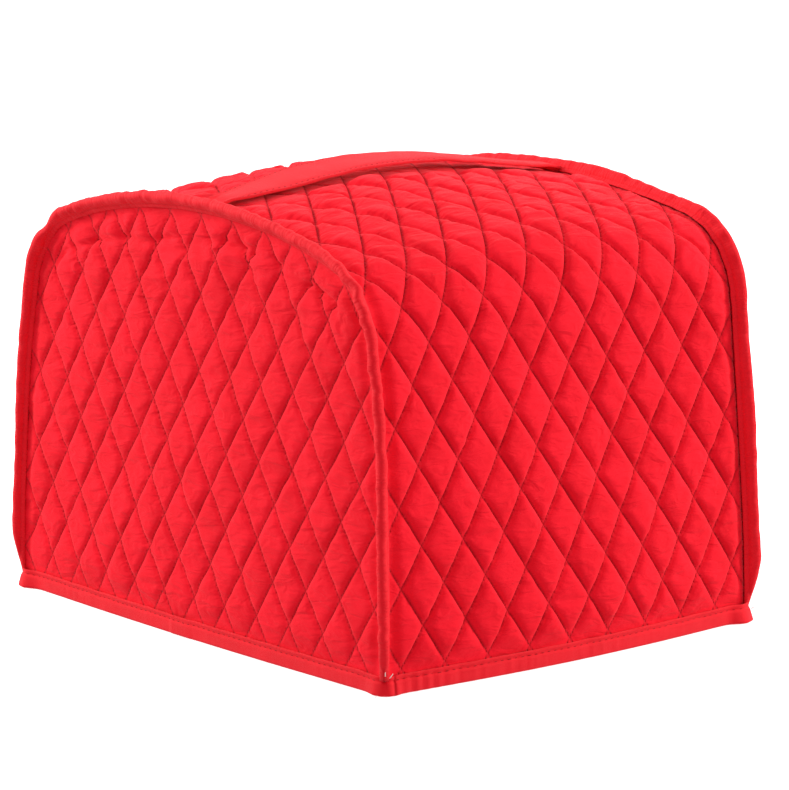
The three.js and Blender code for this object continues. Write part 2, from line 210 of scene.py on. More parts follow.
@dataclass(frozen=True)
class Swell:
    """How the cloth swells and sinks between its seams."""

    outline: Outline
    side_bulge: float = 6 * MM
    shoulder_hollow: float = 2.5 * MM
    shoulder_span: float = 220 * MM
    top_rise: float = 10 * MM
    top_span: float = 190 * MM
    shoulder_skew: float = 2.6 * MM
    shoulder_reach: float = 42 * MM
    panel_bulge: float = 3 * MM
    wave: float = 0.6 * MM
    hem_fade: float = 16 * MM

    def skew(self, along: float, share: float) -> float:
        """How far a shoulder stands out at a share of the depth, -1 at the front and 1 at the back."""
        shoulder = (self.outline.side_end + self.outline.corner_end) / 2
        return self.shoulder_skew * share * bell(self.outline.rise(along) - shoulder, self.shoulder_reach)

    def waves(self, across: float, along: float) -> float:
        """Slow unevenness of the cloth.

        Args:
            across: place across the cloth.
            along: place along it.

        Returns:
            How far the cloth stands out there.
        """
        x, y = across / MM, along / MM
        broad = math.sin(y / 27 + 0.6) * math.sin(x / 33 + 0.4)
        return self.wave * (broad + 0.6 * math.sin(y / 14 - x / 19))

    def strip(self, along: float, across: float) -> float:
        """Swell of the strip.

        Args:
            along: distance along the strip from the +X hem.
            across: place across it, from the front to the back.

        Returns:
            How far it stands out of the outline.
        """
        line = self.outline
        rise = line.rise(along)
        between = math.cos(math.pi / 2 * across / line.half_depth)
        foot = self.side_bulge * math.cos(math.pi / 2 * min(1.0, rise / line.side_end)) ** 2
        hollow = self.shoulder_hollow * math.sin(math.pi * min(1.0, rise / self.shoulder_span)) ** 2
        below_top = min(1.0, (line.half_length - rise) / self.top_span)
        top = self.top_rise * math.cos(math.pi / 2 * below_top) ** 2
        waving = self.waves(across, along) * smooth((rise - line.hem_straight) / self.hem_fade)
        return between * (foot - hollow + top + waving) + self.skew(along, across / line.half_depth)

    def panel(self, across: float, height: float) -> float:
        """Swell of the front or the back.

        Args:
            across: X of the place.
            height: Z of the place.

        Returns:
            How far it stands out of its plane.
        """
        line = self.outline
        between = math.cos(math.pi / 2 * min(1.0, abs(across) / line.half_width))
        return between * (1 - smooth(height / line.height)) * self.panel_bulge


@dataclass(frozen=True)
class Quilting:
    """Diamonds between stitch lines. Places are in diamond widths (u) and diamond heights (v)."""

    width: float = 24 * MM
    height: float = 36 * MM
    puff: float = 2.9 * MM
    flank: float = 1.5 * MM
    flat_share: float = 0.84
    ragged: float = 0.6
    ragged_waves: Waves = Waves(3.4 * MM, 3.4 * MM, 12.1)
    spread: float = 0.16
    cells: int = 16
    stitches: int = 8
    crease: float = 0.9 * MM
    crease_reach: float = 1.5 * MM

    @cached_property
    def line_gap(self) -> float:
        """Distance between two parallel stitch lines."""
        return self.width * self.height / math.hypot(self.width, self.height)

    @cached_property
    def cell(self) -> Vector:
        """Size of a mesh cell, so that stitch lines run along cell diagonals."""
        return Vector((self.width / self.cells, self.height / self.cells))

    def relief(self, u: float, v: float) -> float:
        """Height of the filled cloth over its stitch lines.

        Args:
            u: place across, in diamond widths from a crossing.
            v: place along, in diamond heights from a crossing.

        Returns:
            The height in metres.
        """
        rising, falling = u - v, u + v
        to_rising = abs(rising - round(rising)) * self.line_gap
        to_falling = abs(falling - round(falling)) * self.line_gap
        flank = self.flank * (1 + self.ragged * self.ragged_waves.at(u * self.width, v * self.height))
        pillow = (1 - math.exp(-to_rising / flank)) * (1 - math.exp(-to_falling / flank))
        crown = math.sqrt(abs(math.sin(math.pi * rising) * math.sin(math.pi * falling)))
        turn = 1.7 * math.floor(rising) + 2.9 * math.floor(falling)
        filling = 1 + self.spread * math.sin(turn)
        level = abs(2 * v - round(2 * v)) / 2 * self.height
        pull = self.crease * (0.5 + 0.5 * math.sin(2.3 * turn + 1)) * bell(level, self.crease_reach)
        return self.puff * filling * mix(crown, pillow, self.flat_share) - pull * crown


@dataclass(frozen=True)
class StitchStyle:
    """One kind of stitch: a short sunk length of thread."""

    length: float
    width: float = 0.55 * MM
    end_width: float = 0.55
    end_height: float = 0.6
    sides: int = 4
    sink: float = 0.35 * MM


def linked(name: str, data: ID, place: Matrix | None = None) -> Object:
    """Make an object and put it in the scene.

    Args:
        name: name of the object.
        data: its mesh, camera or light.
        place: where it stands, if not at the origin.

    Returns:
        The new object.
    """
    made = bpy.data.objects.new(name, data)
    bpy.context.scene.collection.objects.link(made)
    if place is not None:
        made.matrix_world = place
    return made


def painted(name: str, values: dict[str, object]) -> tuple[Material, Node]:
    """Make a material with the values that are the same all over.

    Args:
        name: name of the material.
        values: for each socket of the Principled BSDF its value.

    Returns:
        The material and its Principled BSDF.
    """
    material = bpy.data.materials.new(name)
    material.use_nodes = True
    shader = next(node for node in material.node_tree.nodes if node.type == "BSDF_PRINCIPLED")
    for label, value in values.items():
        shader.inputs[label].default_value = value
    return material, shader


def add_node(tree: NodeTree, kind: str, inputs: dict[int | str, object] | None = None,
             **settings: object) -> Node:
    """Add a node to a tree.

    Args:
        tree: the node tree.
        kind: the node's type, without the word ShaderNode.
        inputs: for each input its value, or the socket that feeds it.
        **settings: the node's own settings.

    Returns:
        The new node.
    """
    node = tree.nodes.new(f"ShaderNode{kind}")
    for label, value in settings.items():
        setattr(node, label, value)
    for label, value in (inputs or {}).items():
        if isinstance(value, NodeSocket):
            tree.links.new(value, node.inputs[label])
        else:
            node.inputs[label].default_value = value
    return node


def calculate(tree: NodeTree, operation: str, *values: object) -> NodeSocket:
    """Add a Math node.

    Args:
        tree: the node tree.
        operation: the node's operation.
        *values: its values or sockets.

    Returns:
        The node's output socket.
    """
    return add_node(tree, "Math", dict(enumerate(values)), operation=operation).outputs[0]


class Shaders:
    """Shader node groups that several finishes share, each built once."""

    def group(self, name: str, inputs: dict[str, object],
              outputs: dict[str, str]) -> tuple[NodeTree, Node, Node]:
        """Make an empty group with its sockets.

        Args:
            name: name of the group.
            inputs: the default of each input: a number, a colour, or None for a vector.
            outputs: the kind of each output.

        Returns:
            The new node tree, its input node and its output node.
        """
        kinds = {float: "NodeSocketFloat", tuple: "NodeSocketColor", type(None): "NodeSocketVector"}
        tree = bpy.data.node_groups.new(name, "ShaderNodeTree")
        for label, default in inputs.items():
            socket = tree.interface.new_socket(label, in_out="INPUT", socket_type=kinds[type(default)])
            if default is not None:
                socket.default_value = default
        for label, kind in outputs.items():
            tree.interface.new_socket(label, in_out="OUTPUT", socket_type=f"NodeSocket{kind}")
        return tree, tree.nodes.new("NodeGroupInput"), tree.nodes.new("NodeGroupOutput")

    @cached_property
    def weave(self) -> NodeTree:
        """Plain weave with a brushed nap: a height from places in metres."""
        tree, start, end = self.group("weave", {"Place": None, "Threads": 2200.0, "Nap": 0.5},
                                      {"Height": "Float"})
        split = add_node(tree, "SeparateXYZ", {0: start.outputs["Place"]})
        turn = calculate(tree, "MULTIPLY", start.outputs["Threads"], 2 * math.pi)
        warp = calculate(tree, "SINE", calculate(tree, "MULTIPLY", split.outputs["X"], turn))
        weft = calculate(tree, "SINE", calculate(tree, "MULTIPLY", split.outputs["Y"], turn))
        threads = calculate(tree, "MULTIPLY_ADD", calculate(tree, "MULTIPLY", warp, weft), 0.5, 0.5)
        nap = add_node(tree, "TexNoise", {"Vector": start.outputs["Place"], "Detail": 3.0, "Scale": 620.0})
        blend = add_node(tree, "Mix", {0: start.outputs["Nap"], 2: threads, 3: nap.outputs[0]})
        tree.links.new(blend.outputs[0], end.inputs["Height"])
        return tree

    @cached_property
    def crinkle(self) -> NodeTree:
        """Fine wrinkles that run across a cloth: a height from places in metres."""
        tree, start, end = self.group("crinkle", {"Place": None, "Across": 70.0, "Along": 185.0},
                                      {"Height": "Float"})
        scale = add_node(tree, "CombineXYZ", {"X": start.outputs["Across"], "Y": start.outputs["Along"]})
        stretch = add_node(tree, "VectorMath", {0: start.outputs["Place"], 1: scale.outputs[0]},
                           operation="MULTIPLY")
        folds = add_node(tree, "TexNoise", {"Vector": stretch.outputs[0], "Scale": 1.0, "Detail": 2.0,
                                            "Distortion": 0.9})
        tree.links.new(folds.outputs[0], end.inputs["Height"])
        return tree

    @cached_property
    def colour_drift(self) -> NodeTree:
        """Slow change between two shades of a dyed cloth."""
        tree, start, end = self.group("colour_drift", {
            "Place": None, "Scale": 40.0, "Shade": (0.5, 0.0, 0.0, 1.0), "Colour": (0.8, 0.0, 0.0, 1.0),
        }, {"Colour": "Color"})
        patch = add_node(tree, "TexNoise", {"Detail": 4.0, "Vector": start.outputs["Place"],
                                            "Scale": start.outputs["Scale"]})
        reach = add_node(tree, "MapRange", {"Value": patch.outputs[0], "From Min": 0.25, "From Max": 0.6})
        blend = add_node(tree, "Mix", {0: reach.outputs[0], 6: start.outputs["Shade"],
                                       7: start.outputs["Colour"]}, data_type="RGBA")
        tree.links.new(blend.outputs[2], end.inputs["Colour"])
        return tree

    @cached_property
    def stitch_lines(self) -> NodeTree:
        """Masks of the quilting's grooves and of its needle holes, from places in diamonds."""
        tree, start, end = self.group("stitch_lines", {"Diamonds": None, "Stitches": 8.0},
                                      {"Groove": "Float", "Hole": "Float"})
        groove_reach, hole_reach, hole_length = 0.05, 0.036, 0.26
        split = add_node(tree, "SeparateXYZ", {0: start.outputs["Diamonds"]})
        rising = calculate(tree, "SUBTRACT", split.outputs["X"], split.outputs["Y"])
        falling = calculate(tree, "ADD", split.outputs["X"], split.outputs["Y"])

        def near(distance: NodeSocket, reach: float) -> NodeSocket:
            """Mask that is 1 at no distance and 0 from a reach on."""
            left = calculate(tree, "SUBTRACT", 1.0, calculate(tree, "DIVIDE", distance, reach))
            return calculate(tree, "MAXIMUM", left, 0.0)

        masks = []
        for across, along in ((rising, falling), (falling, rising)):
            off = calculate(tree, "PINGPONG", across, 0.5)
            steps = calculate(tree, "MULTIPLY", along, start.outputs["Stitches"])
            hole = calculate(tree, "MULTIPLY", near(off, hole_reach),
                             near(calculate(tree, "PINGPONG", steps, 0.5), hole_length))
            masks.append((near(off, groove_reach), hole))
        for label, pair in zip(("Groove", "Hole"), zip(*masks)):
            tree.links.new(calculate(tree, "MAXIMUM", *pair), end.inputs[label])
        return tree


@dataclass(frozen=True)
class Finish:
    """A dyed cloth: its colours and how it takes the light."""

    name: str
    colour: tuple[float, float, float]
    shade: tuple[float, float, float]
    roughness: float = 0.8
    specular: float = 0.12
    sheen: float = 0.1
    sheen_roughness: float = 0.45
    sheen_tint: tuple[float, float, float] = (1.0, 0.55, 0.55)
    drift_scale: float = 38.0
    threads: float = 2200.0
    nap: float = 0.6
    weave_height: float = 0.14 * MM

    def start(self) -> tuple[Material, Node]:
        """Make the plain material.

        Returns:
            The material and its Principled BSDF.
        """
        material, shader = painted(self.name, {
            "Roughness": self.roughness,
            "Specular IOR Level": self.specular,
            "Sheen Weight": self.sheen,
            "Sheen Roughness": self.sheen_roughness,
            "Sheen Tint": (*self.sheen_tint, 1.0),
        })
        material.diffuse_color = (*self.colour, 1.0)
        return material, shader

    def dye(self, tree: NodeTree, shaders: Shaders, place: NodeSocket) -> NodeSocket:
        """The cloth's colour, drifting between its two shades.

        Args:
            tree: the material's node tree.
            shaders: the shared groups.
            place: socket with the places in metres.

        Returns:
            The socket with the colour.
        """
        values = {"Place": place, "Scale": self.drift_scale, "Shade": (*self.shade, 1.0),
                  "Colour": (*self.colour, 1.0)}
        return add_node(tree, "Group", values, node_tree=shaders.colour_drift).outputs["Colour"]

    def bump(self, tree: NodeTree, height: NodeSocket, distance: float,
             below: Node | None = None, strength: float = 1.0) -> Node:
        """Add a Bump node.

        Args:
            tree: the material's node tree.
            height: socket with the height, 0 to 1.
            distance: metres that the height stands for.
            below: an earlier Bump node, if any.
            strength: share of the bump that shows.

        Returns:
            The Bump node.
        """
        inputs = {"Distance": distance, "Strength": strength, "Height": height}
        if below is not None:
            inputs["Normal"] = below.outputs[0]
        return add_node(tree, "Bump", inputs)

    def weave(self, tree: NodeTree, shaders: Shaders, place: NodeSocket,
              below: Node | None = None) -> NodeSocket:
        """The woven surface over any coarser bump.

        Args:
            tree: the material's node tree.
            shaders: the shared groups.
            place: socket with the places in metres.
            below: an earlier Bump node, if any.

        Returns:
            The socket with the normal.
        """
        values = {"Place": place, "Threads": self.threads, "Nap": self.nap}
        woven = add_node(tree, "Group", values, node_tree=shaders.weave)
        return self.bump(tree, woven.outputs[0], self.weave_height, below).outputs[0]


@dataclass(frozen=True)
class QuiltedFinish(Finish):
    """Brushed cloth on the diamonds' own map, with painted shade in its stitched grooves and needle holes.
    """

    quilting: Quilting = field(default_factory=Quilting)
    # Painted shade: how far the colour darkens in the grooves and in the needle holes, and how dark a red it
    # darkens to.
    groove_painted_shade: float = 0.42
    hole_painted_shade: float = 0.85
    painted_shade_darkness: float = 0.3
    hole_depth: float = 0.4 * MM
    crinkle_height: float = 2.4 * MM
    crinkle_strength: float = 0.6

    def build(self, shaders: Shaders) -> Material:
        """Make the material.

        Args:
            shaders: the shared groups.

        Returns:
            The finished material.
        """
        material, shader = self.start()
        tree = material.node_tree
        diamonds = add_node(tree, "UVMap", uv_map="cut").outputs[0]
        size = (self.quilting.width, self.quilting.height, 1.0)
        place = add_node(tree, "VectorMath", {0: diamonds, 1: size}, operation="MULTIPLY").outputs[0]
        lines = add_node(tree, "Group", {"Diamonds": diamonds, "Stitches": float(self.quilting.stitches)},
                         node_tree=shaders.stitch_lines)
        groove, hole = lines.outputs["Groove"], lines.outputs["Hole"]
        # Painted shade: the dyed colour is mixed towards a deep red in the grooves and needle holes, where
        # shade falls.
        painted_shade_mask = calculate(tree, "MAXIMUM", calculate(tree, "MULTIPLY", groove, self.groove_painted_shade),
                         calculate(tree, "MULTIPLY", hole, self.hole_painted_shade))
        painted_shadow_red = (*(part * self.painted_shade_darkness for part in self.shade), 1.0)
        painted_shade_mix = add_node(tree, "Mix", {0: painted_shade_mask, 6: self.dye(tree, shaders, place), 7: painted_shadow_red},
                          data_type="RGBA")
        tree.links.new(painted_shade_mix.outputs[2], shader.inputs["Base Color"])
        crinkle = add_node(tree, "Group", {"Place": place}, node_tree=shaders.crinkle)
        wrinkled = self.bump(tree, crinkle.outputs[0], self.crinkle_height, strength=self.crinkle_strength)
        pierced = self.bump(tree, calculate(tree, "SUBTRACT", 1.0, hole), self.hole_depth, wrinkled)
        tree.links.new(self.weave(tree, shaders, place, pierced), shader.inputs["Normal"])
        return material


@dataclass(frozen=True)
class TapeFinish(Finish):
    """Plain woven tape with a slight sheen, mapped by its own length and width."""

    roughness: float = 0.65
    specular: float = 0.16
    drift_scale: float = 55.0
    threads: float = 2600.0
    nap: float = 0.35
    pucker_height: float = 0.3 * MM
    pucker_strength: float = 0.5
    pucker_across: float = 420.0
    pucker_along: float = 60.0

    def build(self, shaders: Shaders) -> Material:
        """Make the material.

        Args:
            shaders: the shared groups.

        Returns:
            The finished material.
        """
        material, shader = self.start()
        tree = material.node_tree
        place = add_node(tree, "UVMap", uv_map="cut").outputs[0]
        tree.links.new(self.dye(tree, shaders, place), shader.inputs["Base Color"])
        values = {"Place": place, "Across": self.pucker_across, "Along": self.pucker_along}
        pucker = add_node(tree, "Group", values, node_tree=shaders.crinkle)
        puckered = self.bump(tree, pucker.outputs[0], self.pucker_height, strength=self.pucker_strength)
        tree.links.new(self.weave(tree, shaders, place, puckered), shader.inputs["Normal"])
        return material


@dataclass(frozen=True)
class ThreadFinish(Finish):
    """Sewing thread: smooth twisted plies, on Object coordinates."""

    threads: float = 1800.0

    def build(self, shaders: Shaders) -> Material:
        """Make the material.

        Args:
            shaders: the shared groups.

        Returns:
            The finished material.
        """
        material, shader = self.start()
        tree = material.node_tree
        place = add_node(tree, "TexCoord").outputs["Object"]
        tree.links.new(self.dye(tree, shaders, place), shader.inputs["Base Color"])
        tree.links.new(self.weave(tree, shaders, place), shader.inputs["Normal"])
        return material


class Workshop:
    def __init__(self) -> None:
        """Build every finish once."""
        shaders = Shaders()
        cloth_reds = (0.88, 0.004, 0.018), (0.76, 0.001, 0.011)
        tape_reds = (0.88, 0.003, 0.014), (0.80, 0.002, 0.011)
        self.cloth = QuiltedFinish("quilted_cloth", *cloth_reds).build(shaders)
        self.tape = TapeFinish("binding_tape", *tape_reds).build(shaders)
        self.seam_tape = TapeFinish("puckered_tape", *tape_reds, pucker_height=2.2 * MM).build(shaders)
        # Painted shade: the thread has the cloth's red, darkened to about half, for the shade that the sunk
        # stitches lie in.
        self.thread = ThreadFinish("red_thread_painted_shade", (0.42, 0.001, 0.005), (0.3, 0.0, 0.003), roughness=0.7,
                                   drift_scale=200.0).build(shaders)
        self.loose_thread = ThreadFinish("pale_thread", (0.85, 0.8, 0.76), (0.7, 0.64, 0.6), roughness=0.5,
                                         sheen_tint=(1.0, 1.0, 1.0)).build(shaders)

    def piece(self, name: str, mesh: BMesh, material: Material, slot: Slot,
              node: str | None = None) -> Object:
        """Make an object of a bmesh and let it ride on the cover.

        Args:
            name: name of the piece.
            mesh: its bmesh, which is freed.
            material: its finish.
            slot: the record's slot; not used.
            node: the CAD node that it stands for, if any.

        Returns:
            The new object.
        """
        data = bpy.data.meshes.new(name)
        for face in mesh.faces:
            face.smooth = True
        mesh.to_mesh(data)
        mesh.free()
        data.materials.append(material)
        made = linked(name, data)
        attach(made, BODY)
        if node:
            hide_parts(node)
        LOG.info("%s: %d vertices, %d faces", name, len(data.vertices), len(data.polygons))
        return made

    def thicken(self, piece: Object, thickness: float) -> None:
        """Give an open ribbon of tape its thickness, on its inner side.

        Args:
            piece: the ribbon.
            thickness: thickness of the tape.
        """
        solidify = piece.modifiers.new("tape_thickness", "SOLIDIFY")
        solidify.thickness = thickness
        solidify.offset = -1.0
        solidify.use_even_offset = False

    def stitches(self, name: str, places: Iterable[Matrix], style: StitchStyle, slot: Slot) -> None:
        """Sew a row of stitches as one joined piece.

        Args:
            name: name of the piece.
            places: for each stitch its place, with X along the thread and Z out of the cloth.
            style: the kind of stitch.
            slot: the record's slot, passed on to piece.
        """
        one = bmesh.new()
        bmesh.ops.create_cone(one, cap_ends=True, segments=style.sides, radius1=style.width / 2,
                              radius2=style.width / 2, depth=style.length)
        half = style.length / 2
        long_edges = [edge for edge in one.edges if abs(edge.verts[0].co.z - edge.verts[1].co.z) > half]
        bmesh.ops.subdivide_edges(one, edges=long_edges, cuts=2)
        bmesh.ops.rotate(one, verts=one.verts[:], matrix=Matrix.Rotation(math.pi / 2, 3, "Y"))
        for vert in one.verts:
            to_end = (abs(vert.co.x) / half) ** 2
            vert.co.y *= mix(1.0, style.end_width, to_end)
            vert.co.z = vert.co.z * mix(1.0, style.end_height, to_end) - style.sink * to_end
        thread = bpy.data.meshes.new("one_stitch")
        one.to_mesh(thread)
        one.free()
        row = bmesh.new()
        for place in places:
            stitch = thread.copy()
            stitch.transform(place)
            row.from_mesh(stitch)
            bpy.data.meshes.remove(stitch)
        bpy.data.meshes.remove(thread)
        self.piece(name, row, self.thread, slot)


def standing(at: Vector, along: Vector, out: Vector) -> Matrix:
    """Place with X along one direction and Z close to another.

    Args:
        at: the origin.
        along: direction of X.
        out: direction near Z.

    Returns:
        The matrix of the place.
    """
    x = along.normalized()
    y = out.cross(x).normalized()
    turned = Matrix((x, y, x.cross(y))).transposed().to_4x4()
    turned.translation = at
    return turned


def surface_place(surface: Callable[[float, float], Vector], a: float, b: float, da: float,
                  db: float) -> Matrix:
    """Place on a surface with X along a direction of its two parameters.

    Args:
        surface: the point at two parameters.
        a: first parameter.
        b: second parameter.
        da: the direction's first part, a small step.
        db: the direction's second part, a small step.

    Returns:
        The matrix of the place, with Z out of the surface.
    """
    ahead = surface(a + da, b + db) - surface(a - da, b - db)
    aside = surface(a - db, b + da) - surface(a + db, b - da)
    return standing(surface(a, b), ahead, ahead.cross(aside))


@dataclass
class QuiltedPiece:
    """A cut of quilted cloth: a flat sheet on its lattice, bent to its place."""

    workshop: Workshop
    outline: Outline
    swell: Swell
    quilting: Quilting
    crossing: Vector = flat_point(0.0, 0.0)
    low_end: float = 2.5 * MM
    thickness: float = 2 * MM
    seam_start: float = 1.5 * MM
    seam_fade: float = 7 * MM
    hem_height: float = 9.2 * MM
    hem_start: float = 1 * MM
    hem_fade: float = 12 * MM
    turn_up: float = 1.7 * MM
    turn_reach: float = 6 * MM
    back_puff: float = 0.35
    stitch_length: float = 1.9 * MM
    probe_share: float = 1 / 200

    def lattice(self, across: float, along: float) -> tuple[float, float]:
        """Place on the lattice, in diamond widths and heights."""
        return ((across - self.crossing.x) / self.quilting.width,
                (along - self.crossing.y) / self.quilting.height)

    def place(self, across: float, along: float, outer: bool) -> Vector:
        """Where a point of the flat cloth goes, which each kind of piece says for itself."""
        raise NotImplementedError

    def near_seam(self, distance: float) -> float:
        """Share of the quilting that shows at a distance from the seam."""
        return smooth((distance - self.seam_start) / self.seam_fade)

    def near_hem(self, rise: float) -> float:
        """Share of the quilting that shows at a height over the hem."""
        return smooth((rise - self.hem_height + self.hem_start) / self.hem_fade)

    def turned_up(self, distance: float) -> float:
        """How far the cloth's edge turns out at a distance from the seam."""
        return self.turn_up * max(0.0, 1 - distance / self.turn_reach) ** 2

    def takes_stitch(self, across: float, along: float) -> bool:
        """Whether a place on the cloth can be quilted."""
        return True

    def snapped(self, across: float, along: float, upward: bool) -> Vector:
        """The lattice cell corner next to a place.

        Args:
            across: the place across.
            along: the place along.
            upward: whether it is the next corner or the last one.

        Returns:
            The corner.
        """
        pick = math.ceil if upward else math.floor
        cell = self.quilting.cell
        return Vector((self.crossing.x + pick((across - self.crossing.x) / cell.x - TINY) * cell.x,
                       self.crossing.y + pick((along - self.crossing.y) / cell.y - TINY) * cell.y))

    def flat_cut(self, low: Vector, high: Vector) -> BMesh:
        """A flat grid whose lines lie on the lattice.

        Args:
            low: lowest across and along.
            high: highest across and along.

        Returns:
            The grid as a bmesh.
        """
        mesh = bmesh.new()
        wide, long = high.x - low.x, high.y - low.y
        middle, cell = (low + high) / 2, self.quilting.cell
        bmesh.ops.create_grid(mesh, x_segments=round(wide / cell.x), y_segments=round(long / cell.y),
                              size=0.5)
        bmesh.ops.scale(mesh, vec=(wide, long, 1.0), verts=mesh.verts[:])
        bmesh.ops.translate(mesh, vec=(middle.x, middle.y, 0.0), verts=mesh.verts[:])
        return mesh

    def layer(self, mesh: BMesh) -> None:
        """Give a flat cut its thickness, its map and facets that follow the stitch lines.

        Args:
            mesh: the flat cut.
        """
        bmesh.ops.solidify(mesh, geom=mesh.faces[:], thickness=self.thickness)
        if min(vert.co.z for vert in mesh.verts) > -self.thickness / 2:
            bmesh.ops.translate(mesh, vec=(0.0, 0.0, -self.thickness), verts=mesh.verts[:])
        cut = mesh.loops.layers.uv.new("cut")
        kept, turned = [], []
        for face in mesh.faces:
            for loop in face.loops:
                loop[cut].uv = self.lattice(loop.vert.co.x, loop.vert.co.y)
            if len(face.verts) == 4:
                middle = face.calc_center_median()
                u, v = self.lattice(middle.x, middle.y)
                rising, falling = u - v, u + v
                wanted = abs(rising - round(rising)) < abs(falling - round(falling))
                step = face.verts[2].co - face.verts[0].co
                (kept if (step.x * step.y > 0) == wanted else turned).append(face)
        bmesh.ops.triangulate(mesh, faces=kept, quad_method="FIXED")
        bmesh.ops.triangulate(mesh, faces=turned, quad_method="ALTERNATE")

    def quilt(self, name: str, low: Vector, high: Vector) -> None:
        """Sew stitches along the quilting's lines.

        Args:
            name: name of the row of stitches.
            low: lowest across and along.
            high: highest across and along.
        """
        places = []
        width, height, count = self.quilting.width, self.quilting.height, self.quilting.stitches
        corners = [self.lattice(x, y) for x in (low.x, high.x) for y in (low.y, high.y)]
        surface = partial(self.place, outer=True)
        run, climb = width * self.probe_share, height * self.probe_share
        for slant in (1, -1):
            lines = [u - slant * v for u, v in corners]
            steps = [u + slant * v for u, v in corners]
            for line in range(math.ceil(min(lines)), math.floor(max(lines)) + 1):
                for step in range(math.ceil(min(steps) * count), math.floor(max(steps) * count) + 1):
                    middle = (step + 0.5) / count
                    across = self.crossing.x + (middle + line) / 2 * width
                    along = self.crossing.y + slant * (middle - line) / 2 * height
                    within = low.x < across < high.x and low.y < along < high.y
                    if within and self.takes_stitch(across, along):
                        places.append(surface_place(surface, across, along, run, slant * climb))
        self.workshop.stitches(name, places, StitchStyle(self.stitch_length), Slot.CLOTH)

    def make(self, mesh: BMesh, name: str, node: str) -> Object:
        """Quilt and bend a flat cut.

        Args:
            mesh: the flat cut.
            name: name of the piece.
            node: the CAD node that it stands for.

        Returns:
            The new object.
        """
        self.layer(mesh)
        for vert in mesh.verts:
            vert.co = self.place(vert.co.x, vert.co.y, vert.co.z > -self.thickness / 2)
        bmesh.ops.recalc_face_normals(mesh, faces=mesh.faces[:])
        return self.workshop.piece(name, mesh, self.workshop.cloth, Slot.CLOTH, node)


@dataclass
class Strip(QuiltedPiece):
    """The long quilted strip, from hem to hem over the top."""

    crossing: Vector = flat_point(-102 * MM, 11.5 * MM)
    crinkle: float = 1.15 * MM
    calm_crinkle: float = 0.35
    fine_waves: Waves = Waves(17 * MM, 4.6 * MM, 3.1)
    broad_waves: Waves = Waves(30 * MM, 11 * MM, 8.7)
    broad_share: float = 0.7
    slack_start: float = 20 * MM
    slack_fade: float = 70 * MM
    gather: float = 0.5 * MM
    gather_waves: Waves = Waves(3.2 * MM, 9 * MM, 1.7)
    gather_from_edge: float = 3 * MM
    gather_reach: float = 4 * MM
    press: float = 0.8
    press_reach: float = 20 * MM
    press_fade: float = 7 * MM
    strap_offset: float = 8 * MM
    stitch_room: float = 4 * MM

    def pressed(self, along: float) -> float:
        """Share of the puff that is left under the strap, 1 away from it."""
        from_strap = abs(self.outline.half_length - along - self.strap_offset)
        return 1 - self.press * smooth((self.press_reach - from_strap) / self.press_fade)

    def wrinkles(self, across: float, along: float) -> float:
        """Crosswise wrinkles, deepest on the top, where the cloth is slack.

        Args:
            across: place across the strip.
            along: distance along it.

        Returns:
            How far the cloth stands out there.
        """
        line = self.outline
        slack = smooth((line.rise(along) - line.side_end + self.slack_start) / self.slack_fade)
        waves = self.fine_waves.at(across, along) + self.broad_share * self.broad_waves.at(across, along)
        return self.crinkle * mix(self.calm_crinkle, 1.0, slack) * waves

    def place(self, across: float, along: float, outer: bool) -> Vector:
        """Point of the cloth.

        Args:
            across: place across the strip, from the front to the back.
            along: distance along the strip from the +X hem.
            outer: whether it lies on the outer face.

        Returns:
            The point in the cover's frame.
        """
        line = self.outline
        to_edge = line.half_depth - abs(across)
        to_hem = self.near_hem(line.rise(along))
        relief = self.quilting.relief(*self.lattice(across, along))
        puff = relief * self.near_seam(to_edge) * to_hem * self.pressed(along)
        gathers = self.gather * self.gather_waves.at(along, across)
        gathers *= bell(to_edge - self.gather_from_edge, self.gather_reach) * to_hem
        lift = self.swell.strip(along, across) + self.turned_up(to_edge) + gathers
        if outer:
            lift += puff + self.wrinkles(across, along) * min(1.0, puff / self.quilting.puff) * to_hem
        else:
            lift -= self.thickness + self.back_puff * puff
        at = line.at(along, lift)
        return Vector((at.x, across * line.depth_at(line.at(along).y) / line.half_depth, at.y))

    def build(self) -> None:
        line = self.outline
        low = self.snapped(-line.half_depth, self.low_end, True)
        high = self.snapped(line.half_depth, line.length - self.low_end, False)
        strip = self.make(self.flat_cut(low, high), "quilted_strip", "strip")
        line.length
        room = Vector((self.stitch_room, self.hem_height))
        self.quilt("strip_stitches", low + room, high - room)


